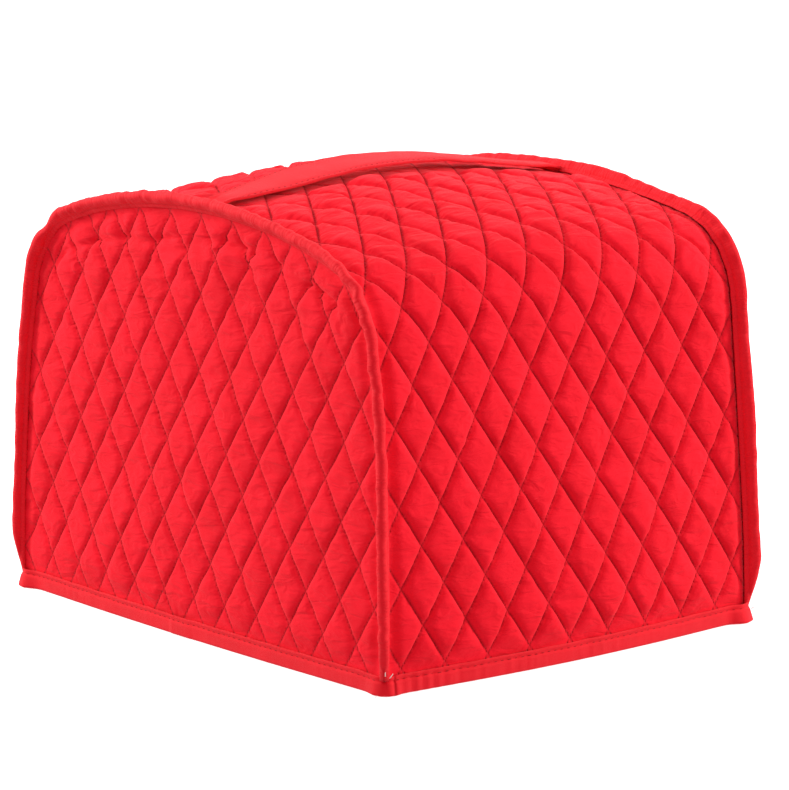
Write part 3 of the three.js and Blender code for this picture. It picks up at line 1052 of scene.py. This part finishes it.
@dataclass
class Panel(QuiltedPiece):
    """An arched quilted panel, cut out along the outline."""

    face: Face = Face.FRONT
    crossing: Vector = flat_point(123 * MM, 20.5 * MM)
    rim_step: float = 5 * MM
    finer: int = 6
    tuck_from_rim: float = 15 * MM
    tuck_depth: float = 2.8 * MM
    tuck_reach: float = 1.5 * MM
    tuck_wander: float = 3 * MM
    wander_waves: Waves = Waves(26 * MM, seed=5.5)
    tuck_strength: float = 0.6
    strength_change: float = 1.1
    strength_waves: Waves = Waves(24 * MM, seed=2.2)
    upper_start: float = 6 * MM
    upper_fade: float = 30 * MM
    fold_depth: float = 0.7 * MM
    fold_waves: Waves = Waves(6.5 * MM, 16 * MM, 9.3)
    fold_place: float = 8 * MM
    crease_depth: float = 1.8 * MM
    crease_waves: Waves = Waves(15 * MM, 4.6 * MM, 4.4)
    crease_place: float = 20 * MM
    crease_reach: float = 14 * MM
    fine_depth: float = 0.6 * MM
    fine_waves: Waves = Waves(16 * MM, 4.6 * MM, 6.6)
    caught_start: float = 1 * MM
    caught_fade: float = 3 * MM
    back_shift: float = 60 * MM
    stitch_room: float = 4 * MM
    filling: float = 0.68

    def rim_point(self, along: float) -> Vector:
        """Point of the seam at a distance along the outline."""
        return self.outline.at(along, self.swell.skew(along, self.face.value))

    @cached_property
    def rim(self) -> list[Vector]:
        """The seam's points, a short step apart, along which the panel is cut."""
        count = round(self.outline.length / self.rim_step)
        return [self.rim_point(self.outline.length * index / count) for index in range(count + 1)]

    @cached_property
    def samples(self) -> list[float]:
        """Close distances along the outline, for finding the seam."""
        count = round(self.outline.length / self.rim_step) * self.finer
        return [self.outline.length * index / count for index in range(count)]

    @cached_property
    def finder(self) -> KDTree:
        """Finds the nearest of the seam's samples."""
        tree = KDTree(len(self.samples))
        for index, along in enumerate(self.samples):
            tree.insert(self.rim_point(along).to_3d(), index)
        tree.balance()
        return tree

    def to_rim(self, across: float, height: float) -> tuple[float, float]:
        """Distance to the seam, and the seam's own distance along the outline there."""
        _, index, distance = self.finder.find((across, max(height, self.outline.hem_straight), 0.0))
        return distance, self.samples[index]

    def takes_stitch(self, across: float, along: float) -> bool:
        """Whether a place lies on the panel, clear of its seam.

        Args:
            across: X of the place.
            along: Z of the place.

        Returns:
            Whether it can be quilted.
        """
        _, seam = self.to_rim(across, along)
        outward = self.outline.at(seam, 1.0) - self.outline.at(seam)
        return (Vector((across, along)) - self.rim_point(seam)).dot(outward) < -self.stitch_room

    def puckers(self, across: float, height: float, distance: float, along: float) -> float:
        """A tuck and its cross folds, where the cloth is caught in the seam over the top.

        Args:
            across: X of the place.
            height: Z of the place.
            distance: how far it is from the seam.
            along: the seam's distance along the outline there.

        Returns:
            How far the cloth stands out there.
        """
        line = self.outline
        upper = smooth((line.rise(along) - line.side_end + self.upper_start) / self.upper_fade)
        wander = self.tuck_wander * self.wander_waves.at(along)
        tuck = self.tuck_depth * bell(distance - self.tuck_from_rim - wander, self.tuck_reach)
        strength = self.tuck_strength + self.strength_change * self.strength_waves.at(along)
        folds = self.fold_waves.at(along, distance) * bell(distance - self.fold_place, self.fold_place)
        creases = self.crease_waves.at(across, height)
        creases *= bell(distance - self.crease_place, self.crease_reach)
        return upper * (-tuck * max(0.0, strength) + self.fold_depth * folds + self.crease_depth * creases)

    def place(self, across: float, along: float, outer: bool) -> Vector:
        """Point of the cloth.

        Args:
            across: X of the point.
            along: Z of the point.
            outer: whether it lies on the outer face.

        Returns:
            The point in the cover's frame.
        """
        line = self.outline
        side = self.face.value
        distance, seam = self.to_rim(across, along)
        fade = self.near_seam(distance)
        to_hem = self.near_hem(along)
        puff = self.filling * self.quilting.relief(*self.lattice(across, along)) * fade * to_hem
        waving = self.swell.waves(across, along + side * self.back_shift)
        waving *= smooth((along - line.hem_straight) / self.swell.hem_fade)
        puckers = self.puckers(across, along, distance, seam)
        puckers *= smooth((distance - self.caught_start) / self.caught_fade)
        lift = fade * waving + self.turned_up(distance) + puckers
        if outer:
            lift += puff + self.fine_depth * self.fine_waves.at(across, along, side) * to_hem
        else:
            lift -= self.thickness + self.back_puff * puff
        lift += line.depth_at(along) + self.swell.panel(across, along)
        return Vector((across, side * lift, along))

    def build(self) -> None:
        line = self.outline
        word = self.face.word
        reach = line.half_width + 1 * MM
        low = self.snapped(-reach, self.low_end, True)
        high = self.snapped(reach, line.height + 3 * MM, True)
        mesh = self.flat_cut(low, high)
        snips = list(zip(self.rim, self.rim[1:]))
        for start, end in snips:
            snip = end - start
            bmesh.ops.bisect_plane(mesh, geom=mesh.verts[:] + mesh.edges[:] + mesh.faces[:], dist=TINY,
                                   plane_co=start.to_3d(), plane_no=(snip.y, -snip.x, 0.0), clear_outer=True)
        panel = self.make(mesh, f"quilted_{word}", f"{word}_panel")
        self.quilt(f"{word}_stitches", low + Vector((0.0, self.hem_height)), high)


@dataclass
class Ribbon:
    """A length of tape: a flat strip of mesh, folded lengthwise and led along a path."""

    workshop: Workshop
    outline: Outline
    swell: Swell
    step: float = 1.5 * MM
    thickness: float = 0.6 * MM
    stitch_pitch: float = 3.2 * MM
    stitch_length: float = 2.3 * MM

    def tape(self, length: float, width: float, folds: int, place: Callable[[float, float], Vector],
             closed: bool = False) -> BMesh:
        """Fold a flat tape and lead it along its path.

        Args:
            length: length of the tape.
            width: width of the flat tape.
            folds: facets across it.
            place: the point at a distance along and a share across, from 0 to 1.
            closed: whether its two ends or its two edges meet.

        Returns:
            The tape as a bmesh, with its map in metres.
        """
        mesh = bmesh.new()
        bmesh.ops.create_grid(mesh, x_segments=round(length / self.step), y_segments=folds, size=0.5)
        cut = mesh.loops.layers.uv.new("cut")
        for face in mesh.faces:
            for loop in face.loops:
                loop[cut].uv = ((loop.vert.co.x + 0.5) * length, (loop.vert.co.y + 0.5) * width)
        for vert in mesh.verts:
            vert.co = place((vert.co.x + 0.5) * length, vert.co.y + 0.5)
        if closed:
            bmesh.ops.remove_doubles(mesh, verts=mesh.verts[:], dist=TINY)
        return mesh

    def place(self, along: float, share: float) -> Vector:
        """Where a point of the flat tape goes, which each kind of ribbon says for itself."""
        raise NotImplementedError

    def on_tape(self, along: float, share: float, step: float, part: float) -> tuple[Vector, Vector, Vector]:
        """A point of the tape and the directions there.

        Args:
            along: distance along the tape.
            share: share across it.
            step: a small step along.
            part: a small share across.

        Returns:
            The point, the direction along the tape and the one across it.
        """
        return (self.place(along, share),
                self.place(along + step, share) - self.place(along - step, share),
                self.place(along, share + part) - self.place(along, share - part))

    def sew(self, name: str, places: Iterable[Matrix]) -> None:
        """Sew the tape's stitches, one at each place."""
        self.workshop.stitches(name, places, StitchStyle(self.stitch_length), Slot.TAPE)


@dataclass
class SeamBinding(Ribbon):
    """Folded tape that stands out along a seam as a fin."""

    face: Face = Face.FRONT
    depth: float = 7.6 * MM
    fold_radius: float = 1.55 * MM
    root: float = 0.2 * MM
    angle: float = math.pi / 4
    sway: float = math.radians(7)
    start: float = 7.6 * MM
    calm_span: float = 26 * MM
    shoulder_reach: float = 38 * MM
    stitch_out: float = 2.6 * MM
    stitch_start: float = 6 * MM
    pinch: float = 2.4 * MM
    pinch_span: float = 7 * MM
    pinch_place: float = 0.8
    folds: int = 40
    far_narrowing: float = 0.15
    far_span: float = 60 * MM
    end_share: float = 0.22
    taper_power: float = 0.6
    groove: float = 0.45 * MM
    groove_reach: float = 0.8 * MM
    belly: float = 0.3 * MM
    belly_place: float = 0.6
    belly_reach: float = 2.2 * MM
    sway_waves: tuple[float, float] = (21 * MM, 57 * MM)
    buckle: tuple[float, float] = (math.radians(4), math.radians(15))
    buckle_waves: Waves = Waves(5.5 * MM, seed=7.7)
    edge_sway: float = 0.4 * MM
    edge_sway_wave: float = 13 * MM
    edge_lift: float = 0.35 * MM
    edge_waves: Waves = Waves(7 * MM, seed=2.9)
    ripple: tuple[float, float] = (0.7 * MM, 1.2 * MM)
    ripple_waves: Waves = Waves(4.4 * MM, 0.5, 4.1)
    ripple_start: float = 2 * MM
    ripple_fade: float = 3 * MM

    def section(self, share: float, depth: float) -> tuple[float, float]:
        """The folded tape's cross-section.

        Args:
            share: place across the flat tape, from 0 on the strip's side to 1 on the panel's.
            depth: how far the fold stands out.

        Returns:
            How far out, and how far from the middle of the fin.
        """
        radius = self.fold_radius
        quarter = math.pi / 2 * radius
        half = quarter + depth - radius - self.root
        run = abs(2 * share - 1) * half
        side = -1 if share > 0.5 else 1
        if run < quarter:
            turn = run / radius
            out, thick = depth - radius + radius * math.cos(turn), radius * math.sin(turn)
        else:
            out, thick = depth - radius - (run - quarter), radius
        drawn = self.groove * bell(out - self.stitch_out, self.groove_reach)
        belly = self.belly * bell(out - self.belly_place * self.depth, self.belly_reach)
        return out, side * (thick - drawn + belly * min(1.0, thick / radius))

    def reach(self, along: float, calm: float) -> float:
        """How far the fin stands out: pinched in one place and narrow by the hem.

        Args:
            along: distance along the seam.
            calm: share of the unevenness that shows there.

        Returns:
            The depth of the fold.
        """
        line = self.outline
        depth = self.depth
        taper = mix(self.end_share, 1.0, calm ** self.taper_power)
        if self.face is Face.FRONT:
            pinch_at = line.half_length + (line.half_length - line.side_end) * self.pinch_place
            depth -= self.pinch * bell(along - pinch_at, self.pinch_span)
            taper *= 1 - self.far_narrowing * smooth((along - line.length + line.side_end) / self.far_span)
        wave = self.edge_sway * math.sin(along / self.edge_sway_wave)
        return depth * taper + calm * (wave + self.edge_lift * self.edge_waves.at(along, self.face.value))

    def place(self, along: float, share: float) -> Vector:
        """Point of the tape.

        Args:
            along: distance along the seam.
            share: share across the tape.

        Returns:
            The point in the cover's frame.
        """
        line = self.outline
        side = self.face.value
        rise = line.rise(along)
        calm = smooth((rise - self.start) / self.calm_span)
        shoulder = bell(rise - (line.side_end + line.corner_end) / 2, self.shoulder_reach)
        short, long = self.sway_waves
        swaying = math.sin(along / short + side) * math.sin(along / long) * self.sway
        buckle = self.buckle_waves.at(along, 0.3 * side) * mix(*self.buckle, shoulder)
        angle = self.angle + calm * (swaying + buckle)
        out, thick = self.section(share, self.reach(along, calm))
        ripple = self.ripple_waves.at(along, share, side) * mix(*self.ripple, shoulder)
        thick += ripple * smooth((out - self.ripple_start) / self.ripple_fade) * calm
        over = out * math.cos(angle) - thick * math.sin(angle)
        forward = out * math.sin(angle) + thick * math.cos(angle)
        at = line.at(along, self.swell.skew(along, side) + over)
        return Vector((at.x, side * (line.depth_at(line.at(along).y) + forward), at.y))

    def stitch_place(self, along: float, share: float) -> Matrix:
        """Place of a stitch on the tape, with Z away from the middle of the fin."""
        at, ahead, aside = self.on_tape(along, share, 1 * MM, 0.02)
        return standing(at, ahead, ahead.cross(aside) * -self.face.value)

    def build(self) -> None:
        """Fold, lead and sew the tape."""
        line = self.outline
        word = self.face.word
        length = line.length - 2 * self.start
        width = 2 * (self.depth + math.pi / 2 * self.fold_radius - self.fold_radius)
        mesh = self.tape(length, width, self.folds,
                         lambda along, share: self.place(self.start + along, share))
        if self.face is Face.BACK:
            bmesh.ops.reverse_faces(mesh, faces=mesh.faces[:])
        tape = self.workshop.piece(f"{word}_seam_tape", mesh, self.workshop.seam_tape, Slot.TAPE,
                                   f"{word}_binding")
        self.workshop.thicken(tape, self.thickness)
        first = self.start + self.stitch_start
        steps = [first + index * self.stitch_pitch for index in range(round(length / self.stitch_pitch))]
        from_fold = (width / 2 - self.stitch_out + self.root) / width
        self.sew(f"{word}_seam_stitches",
                 [self.stitch_place(along, 0.5 + edge * from_fold)
                  for edge in (1, -1) for along in steps if along < line.length - first])


class Corner(Enum):
    """The hem's four corners, in the order in which its tape passes them."""

    RIGHT_FRONT = 0
    RIGHT_BACK = 1
    LEFT_BACK = 2
    LEFT_FRONT = 3


@dataclass
class HemBinding(Ribbon):
    """Folded tape round the open bottom edge, with the cloths' edges inside it."""

    height: float = 9.2 * MM
    thickness: float = 0.8 * MM
    outer: float = 2.4 * MM
    fold_radius: float = 1.4 * MM
    middle_in: float = 1 * MM
    corner_radius: float = 3 * MM
    corner_fade: float = 12 * MM
    stitch_down: float = 2.1 * MM
    stitch_pitch: float = 3.9 * MM
    stitch_length: float = 2.7 * MM
    ear_span: float = 6 * MM
    ears: dict[Corner, float] = field(default_factory=lambda: {
        Corner.RIGHT_FRONT: 2.2 * MM, Corner.RIGHT_BACK: 5.2 * MM,
        Corner.LEFT_BACK: 3.0 * MM, Corner.LEFT_FRONT: 4.6 * MM})
    ear_top: float = 0.45
    groove: float = 0.55 * MM
    groove_reach: float = 0.75 * MM
    edge_shows: float = 0.35
    shows_fade: float = 3 * MM
    join_at: float = -14 * MM
    join_lift: float = 0.7 * MM
    join_rise: float = 1 * MM
    join_length: float = 11 * MM
    join_fade: float = 9 * MM
    folds: int = 50
    panel_pucker: float = 0.12 * MM
    strip_pucker: tuple[float, float] = (0.25 * MM, 0.75 * MM)
    hidden_share: float = 0.4
    deep_reach: float = 95 * MM
    pucker_waves: Waves = Waves(2.9 * MM, seed=6.1)
    slow_pucker: float = 0.25 * MM
    slow_waves: Waves = Waves(14 * MM, seed=1.1)
    edge_lift: float = 0.25 * MM
    edge_waves: Waves = Waves(9 * MM, seed=3.3)

    @cached_property
    def half(self) -> Vector:
        """Half the plan of the hem's middle line."""
        return Vector((self.outline.half_width - self.middle_in, self.outline.half_depth - self.middle_in))

    @cached_property
    def stretches(self) -> list[float]:
        """Lengths of the plan's parts in order: a straight side, then a round corner, four times."""
        arc = math.pi / 2 * self.corner_radius
        deep, wide = (2 * (half - self.corner_radius) for half in (self.half.y, self.half.x))
        return [deep, arc, wide, arc] * 2

    @cached_property
    def length(self) -> float:
        """Length of the tape, once round."""
        return sum(self.stretches)

    @cached_property
    def wall(self) -> float:
        """Height of the tape's flat walls."""
        return self.height - self.fold_radius

    @cached_property
    def round_section(self) -> float:
        """Distance round the tape's cross-section, from one edge to the other."""
        return 2 * self.wall + math.pi * self.fold_radius + 2 * (self.outer - self.fold_radius)

    def plan(self, along: float) -> tuple[Vector, Vector, float]:
        """Walk the plan, starting behind the right front corner.

        Args:
            along: distance walked.

        Returns:
            The place, the outward direction and how far the corner's ear stands out.
        """
        left = along % self.length
        index = 0
        while left > self.stretches[index]:
            left -= self.stretches[index]
            index += 1
        length = self.stretches[index]
        quarter = index // 2
        heading = math.pi / 2 * quarter
        forward = Vector((-math.sin(heading), math.cos(heading)))
        outward = Vector((math.cos(heading), math.sin(heading)))
        reach, other = self.half if quarter % 2 == 0 else (self.half.y, self.half.x)
        if index % 2:
            turn = left / self.corner_radius
            centre = outward * (reach - self.corner_radius) + forward * (other - self.corner_radius)
            direction = outward * math.cos(turn) + forward * math.sin(turn)
            return centre + direction * self.corner_radius, direction, self.ears[Corner((quarter + 1) % 4)]
        at = outward * reach + forward * (left - (other - self.corner_radius))
        swell = self.swell.strip(0.0, at.y) if quarter % 2 == 0 else self.swell.panel(at.x, 0.0)
        to_end = min(left, length - left)
        ear = self.ears[Corner(quarter if left < length / 2 else (quarter + 1) % 4)]
        fade = smooth(to_end / self.corner_fade)
        return at + outward * swell * fade, outward, ear * bell(to_end, self.ear_span)

    def section(self, share: float) -> tuple[float, float, float]:
        """The folded tape's cross-section.

        Args:
            share: place across the flat tape, from 0 at its outer edge to 1 at its inner edge.

        Returns:
            Offset outward, height, and how much of a pucker shows there.
        """
        radius, wall = self.fold_radius, self.wall
        bottom = 2 * (self.outer - radius)
        arc = math.pi / 2 * radius
        run = share * (2 * wall + 2 * arc + bottom)
        if run < wall:
            height = self.height - run
            drawn = self.groove * bell(height - (self.height - self.stitch_down), self.groove_reach)
            shows = mix(self.edge_shows, 1.0, smooth((self.height - height) / self.shows_fade))
            return self.outer - drawn, height, shows
        if run < wall + arc:
            turn = (run - wall) / radius
            out = self.outer - radius + radius * math.cos(turn)
            return out, radius - radius * math.sin(turn), math.cos(turn)
        if run < wall + arc + bottom:
            return self.outer - radius - (run - wall - arc), 0.0, 0.0
        if run < wall + 2 * arc + bottom:
            turn = (run - wall - arc - bottom) / radius
            return -self.outer + radius - radius * math.sin(turn), radius - radius * math.cos(turn), 0.0
        return -self.outer, radius + run - wall - 2 * arc - bottom, 0.0

    def pucker(self, along: float) -> float:
        """Upright puckers of the outer side: deep by the right front corner, and shallow elsewhere.

        Args:
            along: distance round the hem.

        Returns:
            How far the tape stands out there.
        """
        at, outward, _ = self.plan(along)
        near_corner = bell(at.y + self.half.y, self.deep_reach) if outward.x > 0 else self.hidden_share
        size = mix(self.panel_pucker, mix(*self.strip_pucker, near_corner), abs(outward.x))
        return size * self.pucker_waves.at(along) + self.slow_pucker * self.slow_waves.at(along)

    def place(self, along: float, share: float) -> Vector:
        """Point of the tape.

        Args:
            along: distance round the hem.
            share: share across the tape.

        Returns:
            The point in the cover's frame.
        """
        at, outward, ear = self.plan(along)
        offset, height, shows = self.section(share)
        flare = ear * smooth((offset + self.outer) / (2 * self.outer))
        flare *= mix(self.ear_top, 1.0, 1 - height / self.height)
        join = 0.0
        if outward.y < -0.5 and offset > 0:
            past = at.x - self.join_at
            left = 1 - smooth((past - self.join_length) / self.join_fade)
            join = self.join_lift * smooth(past / self.join_rise) * left
        offset += flare + shows * self.pucker(along) + join * shows
        if height > self.height / 2:
            height += self.edge_lift * self.edge_waves.at(along)
        return Vector((at.x + outward.x * offset, at.y + outward.y * offset, height))

    def stitch_place(self, along: float) -> Matrix:
        """Place of a stitch on the outer side, with Z straight out."""
        at, ahead, _ = self.on_tape(along, self.stitch_down / self.round_section, 1 * MM, 0.0)
        return standing(at, ahead, self.plan(along)[1].to_3d())

    def build(self) -> None:
        """Fold, lead and sew the hem's tape."""
        width = 2 * self.height + 2 * self.outer
        mesh = self.tape(self.length, width, self.folds, self.place, closed=True)
        bmesh.ops.reverse_faces(mesh, faces=mesh.faces[:])
        tape = self.workshop.piece("hem_tape", mesh, self.workshop.tape, Slot.TAPE, "hem_binding")
        self.workshop.thicken(tape, self.thickness)
        self.length
        count = round(self.length / self.stitch_pitch)
        self.sew("hem_stitches",
                 [self.stitch_place((index + 0.5) * self.length / count) for index in range(count)])


@dataclass
class HandleStrap(Ribbon):
    """Folded tape from seam to seam over the top, its far edge lifted."""

    half_width: float = 13 * MM
    half_end: float = 7 * MM
    strap_thickness: float = 2 * MM
    end_lift: float = 0.5 * MM
    clearance: float = 1.7 * MM
    arch_rise: float = 2.5 * MM
    arch_power: float = 2.5
    tilt: float = math.radians(6)
    offset: float = 8 * MM
    seam_room: float = 0.5 * MM
    flatness: float = 0.45
    groove_share: float = 0.35
    groove_reach: float = 0.7 * MM
    widening: float = 1.4
    lifting: float = 7.0
    pleat: float = 0.9 * MM
    pleat_turn: float = 7.0
    pleat_fade: float = 3.2
    ripple: float = 0.35 * MM
    ripple_waves: Waves = Waves(11 * MM, 1 / 2.2, 5.2)
    edge_stitch: float = 2.4 * MM
    unsewn: int = 4
    folds: int = 44

    @cached_property
    def reach(self) -> float:
        """Half the strap's length."""
        return self.outline.depth_at(self.outline.height) - self.seam_room

    def section(self, share: float) -> tuple[float, float]:
        """Cross-section of the flattened tube.

        Args:
            share: place round the section, from 0 to 1.

        Returns:
            Place across from -1 to 1, and the lift from 0 to the strap's thickness.
        """
        turn = 2 * math.pi * share
        across = math.cos(turn)
        wide = math.copysign(abs(across) ** self.flatness, across)
        high = math.copysign(abs(math.sin(turn)) ** 0.5, math.sin(turn))
        to_edge = (1 - abs(wide)) * self.half_width
        drawn = self.groove_share * bell(to_edge - self.edge_stitch, self.groove_reach)
        return wide, self.strap_thickness * (0.5 + 0.5 * high * (1 - drawn))

    def place(self, along: float, share: float) -> Vector:
        """Point of the strap.

        Args:
            along: share of its length, from the front to the back.
            share: share round its section.

        Returns:
            The point in the cover's frame.
        """
        line = self.outline
        y = mix(-self.reach, self.reach, along)
        arch = math.sin(math.pi * along)
        half = mix(self.half_end, self.half_width, smooth(self.widening * arch))
        tilt = self.tilt * math.sin(math.pi * along ** 0.6) ** 2 * (1 - along / 2)
        base = mix(self.end_lift, self.clearance, smooth(self.lifting * arch))
        base += self.arch_rise * arch ** self.arch_power
        across, lift = self.section(share)
        pleat = self.pleat * math.cos(self.pleat_turn * across) * (1 - smooth(self.pleat_fade * arch))
        ripple = self.ripple * self.ripple_waves.at(y, across)
        lift += ripple + pleat
        x = self.offset + across * half * math.cos(tilt) + lift * math.sin(tilt)
        swell = self.swell.strip(line.half_length, min(self.reach, abs(y)))
        top = line.at(line.half_length - x, swell).y
        return Vector((x, y, top + base + (1 - across) * half * math.sin(tilt) + lift * math.cos(tilt)))

    def stitch_place(self, along: float, share: float) -> Matrix:
        """Place of a stitch on the strap, with Z upwards."""
        at, ahead, aside = self.on_tape(along, share, 0.005, -0.01)
        out = ahead.cross(aside)
        return standing(at, ahead, out if out.z > 0 else -out)

    def build(self) -> None:
        """Fold, lead and sew the strap."""
        length = 2 * self.reach
        mesh = self.tape(length, 4 * self.half_width, self.folds,
                         lambda along, share: self.place(along / length, share), closed=True)
        bmesh.ops.edgenet_fill(mesh, edges=[edge for edge in mesh.edges if edge.is_boundary])
        bmesh.ops.recalc_face_normals(mesh, faces=mesh.faces[:])
        strap = self.workshop.piece("handle_strap_tape", mesh, self.workshop.tape, Slot.TAPE, "handle_strap")
        near = (1 - self.edge_stitch / self.half_width) ** (1 / self.flatness)
        seam = math.acos(near) / (2 * math.pi)
        steps = range(self.unsewn, round(length / self.stitch_pitch) - self.unsewn)
        self.sew("strap_stitches",
                 [self.stitch_place((index + 0.5) * self.stitch_pitch / length, share)
                  for share in (seam, 0.5 - seam) for index in steps])


@dataclass
class ThreadEnds:
    """Short pale ends of thread by the two right corners of the hem."""

    workshop: Workshop
    outline: Outline
    width: float = 0.45 * MM

    def build(self) -> None:
        """Lay each end as a short straight taper."""
        x, y = self.outline.half_width, self.outline.half_depth
        ends = [
            (Vector((x + 2.5 * MM, -y - 1.5 * MM, 10 * MM)), Vector((0.5 * MM, -0.5 * MM, 5 * MM))),
            (Vector((x + 3.2 * MM, -y + 0.5 * MM, 9 * MM)), Vector((1.6 * MM, 0.6 * MM, 2.2 * MM))),
            (Vector((x + 0.5 * MM, -y - 4.6 * MM, 1.2 * MM)), Vector((-0.4 * MM, -1.2 * MM, -0.9 * MM))),
            (Vector((x + 4.6 * MM, y + 0.5 * MM, 6.5 * MM)), Vector((1.2 * MM, 1.8 * MM, 1.6 * MM))),
        ]
        mesh = bmesh.new()
        for start, run in ends:
            made = bmesh.ops.create_cone(mesh, cap_ends=True, segments=6, radius1=self.width / 2,
                                         radius2=self.width / 3, depth=run.length)
            turned = run.to_track_quat("Z", "Y").to_matrix().to_4x4()
            turned.translation = start + run / 2
            bmesh.ops.transform(mesh, matrix=turned, verts=made["verts"])
        self.workshop.piece("thread_ends", mesh, self.workshop.loose_thread, Slot.TAPE)


@dataclass(frozen=True)
class SoftBox:
    """A square soft box that faces the cover: its direction, metres, side and watts."""

    name: str
    towards: tuple[float, float, float]
    distance: float
    size: float
    power: float


@dataclass(frozen=True)
class Studio:
    """Plain pale floor, soft light and the camera."""

    floor_size: float = 40.0
    floor_glow: float = 0.5
    world_light: float = 0.74
    azimuth: float = math.radians(50.87)
    elevation: float = math.radians(10.53)
    roll: float = math.radians(-0.2)
    distance: float = 1.9599
    aim_right: float = 8.1 * MM
    aim_up: float = 101.5 * MM
    lens: float = 182.3
    boxes: tuple[SoftBox, ...] = (
        SoftBox("left_box", (-0.95, -0.65, 0.6), 1.6, 0.6, 24.0),
        SoftBox("right_box", (0.6, 0.93, 0.4), 1.6, 0.45, 22.5),
        SoftBox("top_box", (-0.1, 0.1, 1.0), 1.5, 0.9, 4.0),
    )

    def axes(self) -> tuple[Vector, Vector, Vector]:
        """The camera's right, up and back directions."""
        a, e = self.azimuth, self.elevation
        back = Vector((math.sin(a) * math.cos(e), -math.cos(a) * math.cos(e), math.sin(e)))
        right = Vector((math.cos(a), math.sin(a), 0.0))
        up = back.cross(right)
        c, s = math.cos(self.roll), math.sin(self.roll)
        return c * right + s * up, c * up - s * right, back

    def camera(self) -> None:
        """Place the camera at the photograph's view."""
        right, up, back = self.axes()
        data = bpy.data.cameras.new("camera")
        data.lens = self.lens
        data.sensor_width = 36.0
        data.clip_start = 0.05
        data.clip_end = 100.0
        turned = Matrix((right, up, back)).transposed().to_4x4()
        turned.translation = right * self.aim_right + up * self.aim_up + back * self.distance
        bpy.context.scene.camera = linked("camera", data, turned)

    def floor(self) -> None:
        """A wide pale floor."""
        mesh = bmesh.new()
        bmesh.ops.create_grid(mesh, x_segments=8, y_segments=8, size=self.floor_size / 2)
        data = bpy.data.meshes.new("floor")
        mesh.to_mesh(data)
        mesh.free()
        material, _ = painted("floor_paint", {
            "Base Color": (0.93, 0.93, 0.93, 1.0),
            "Roughness": 0.9,
            "Specular IOR Level": 0.0,
            "Emission Color": (1.0, 1.0, 1.0, 1.0),
            "Emission Strength": self.floor_glow,
        })
        data.materials.append(material)
        floor = linked("floor", data)
        floor.visible_diffuse = False
        floor.visible_glossy = False

    def light(self, box: SoftBox) -> None:
        """Hang a soft box.

        Args:
            box: the soft box.
        """
        data = bpy.data.lights.new(box.name, "AREA")
        data.shape = "SQUARE"
        data.size = box.size
        data.energy = box.power
        direction = Vector(box.towards).normalized()
        turned = direction.to_track_quat("Z", "Y").to_matrix().to_4x4()
        turned.translation = direction * box.distance + Vector((0.0, 0.0, self.aim_up))
        linked(box.name, data, turned)

    def build(self) -> None:
        """Set up the studio."""
        self.camera()
        self.floor()
        for box in self.boxes:
            self.light(box)
        world = bpy.data.worlds.new("studio")
        world.use_nodes = True
        background = next(node for node in world.node_tree.nodes if node.type == "BACKGROUND")
        background.inputs["Color"].default_value = (1.0, 1.0, 1.0, 1.0)
        background.inputs["Strength"].default_value = self.world_light
        bpy.context.scene.world = world
        bpy.context.scene.view_settings.view_transform = "Standard"


def main() -> None:
    """Build the cover piece by piece around the frame."""
    logging.basicConfig(level=logging.INFO, format="%(name)s %(message)s")
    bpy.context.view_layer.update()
    outline = Outline()
    swell = Swell(outline)
    quilting = Quilting()
    workshop = Workshop()
    Studio().build()
    Strip(workshop, outline, swell, quilting).build()
    for face in Face:
        Panel(workshop, outline, swell, quilting, face=face).build()
        SeamBinding(workshop, outline, swell, face=face).build()
    HemBinding(workshop, outline, swell).build()
    HandleStrap(workshop, outline, swell).build()
    ThreadEnds(workshop, outline).build()


if __name__ == "__main__":
    main()
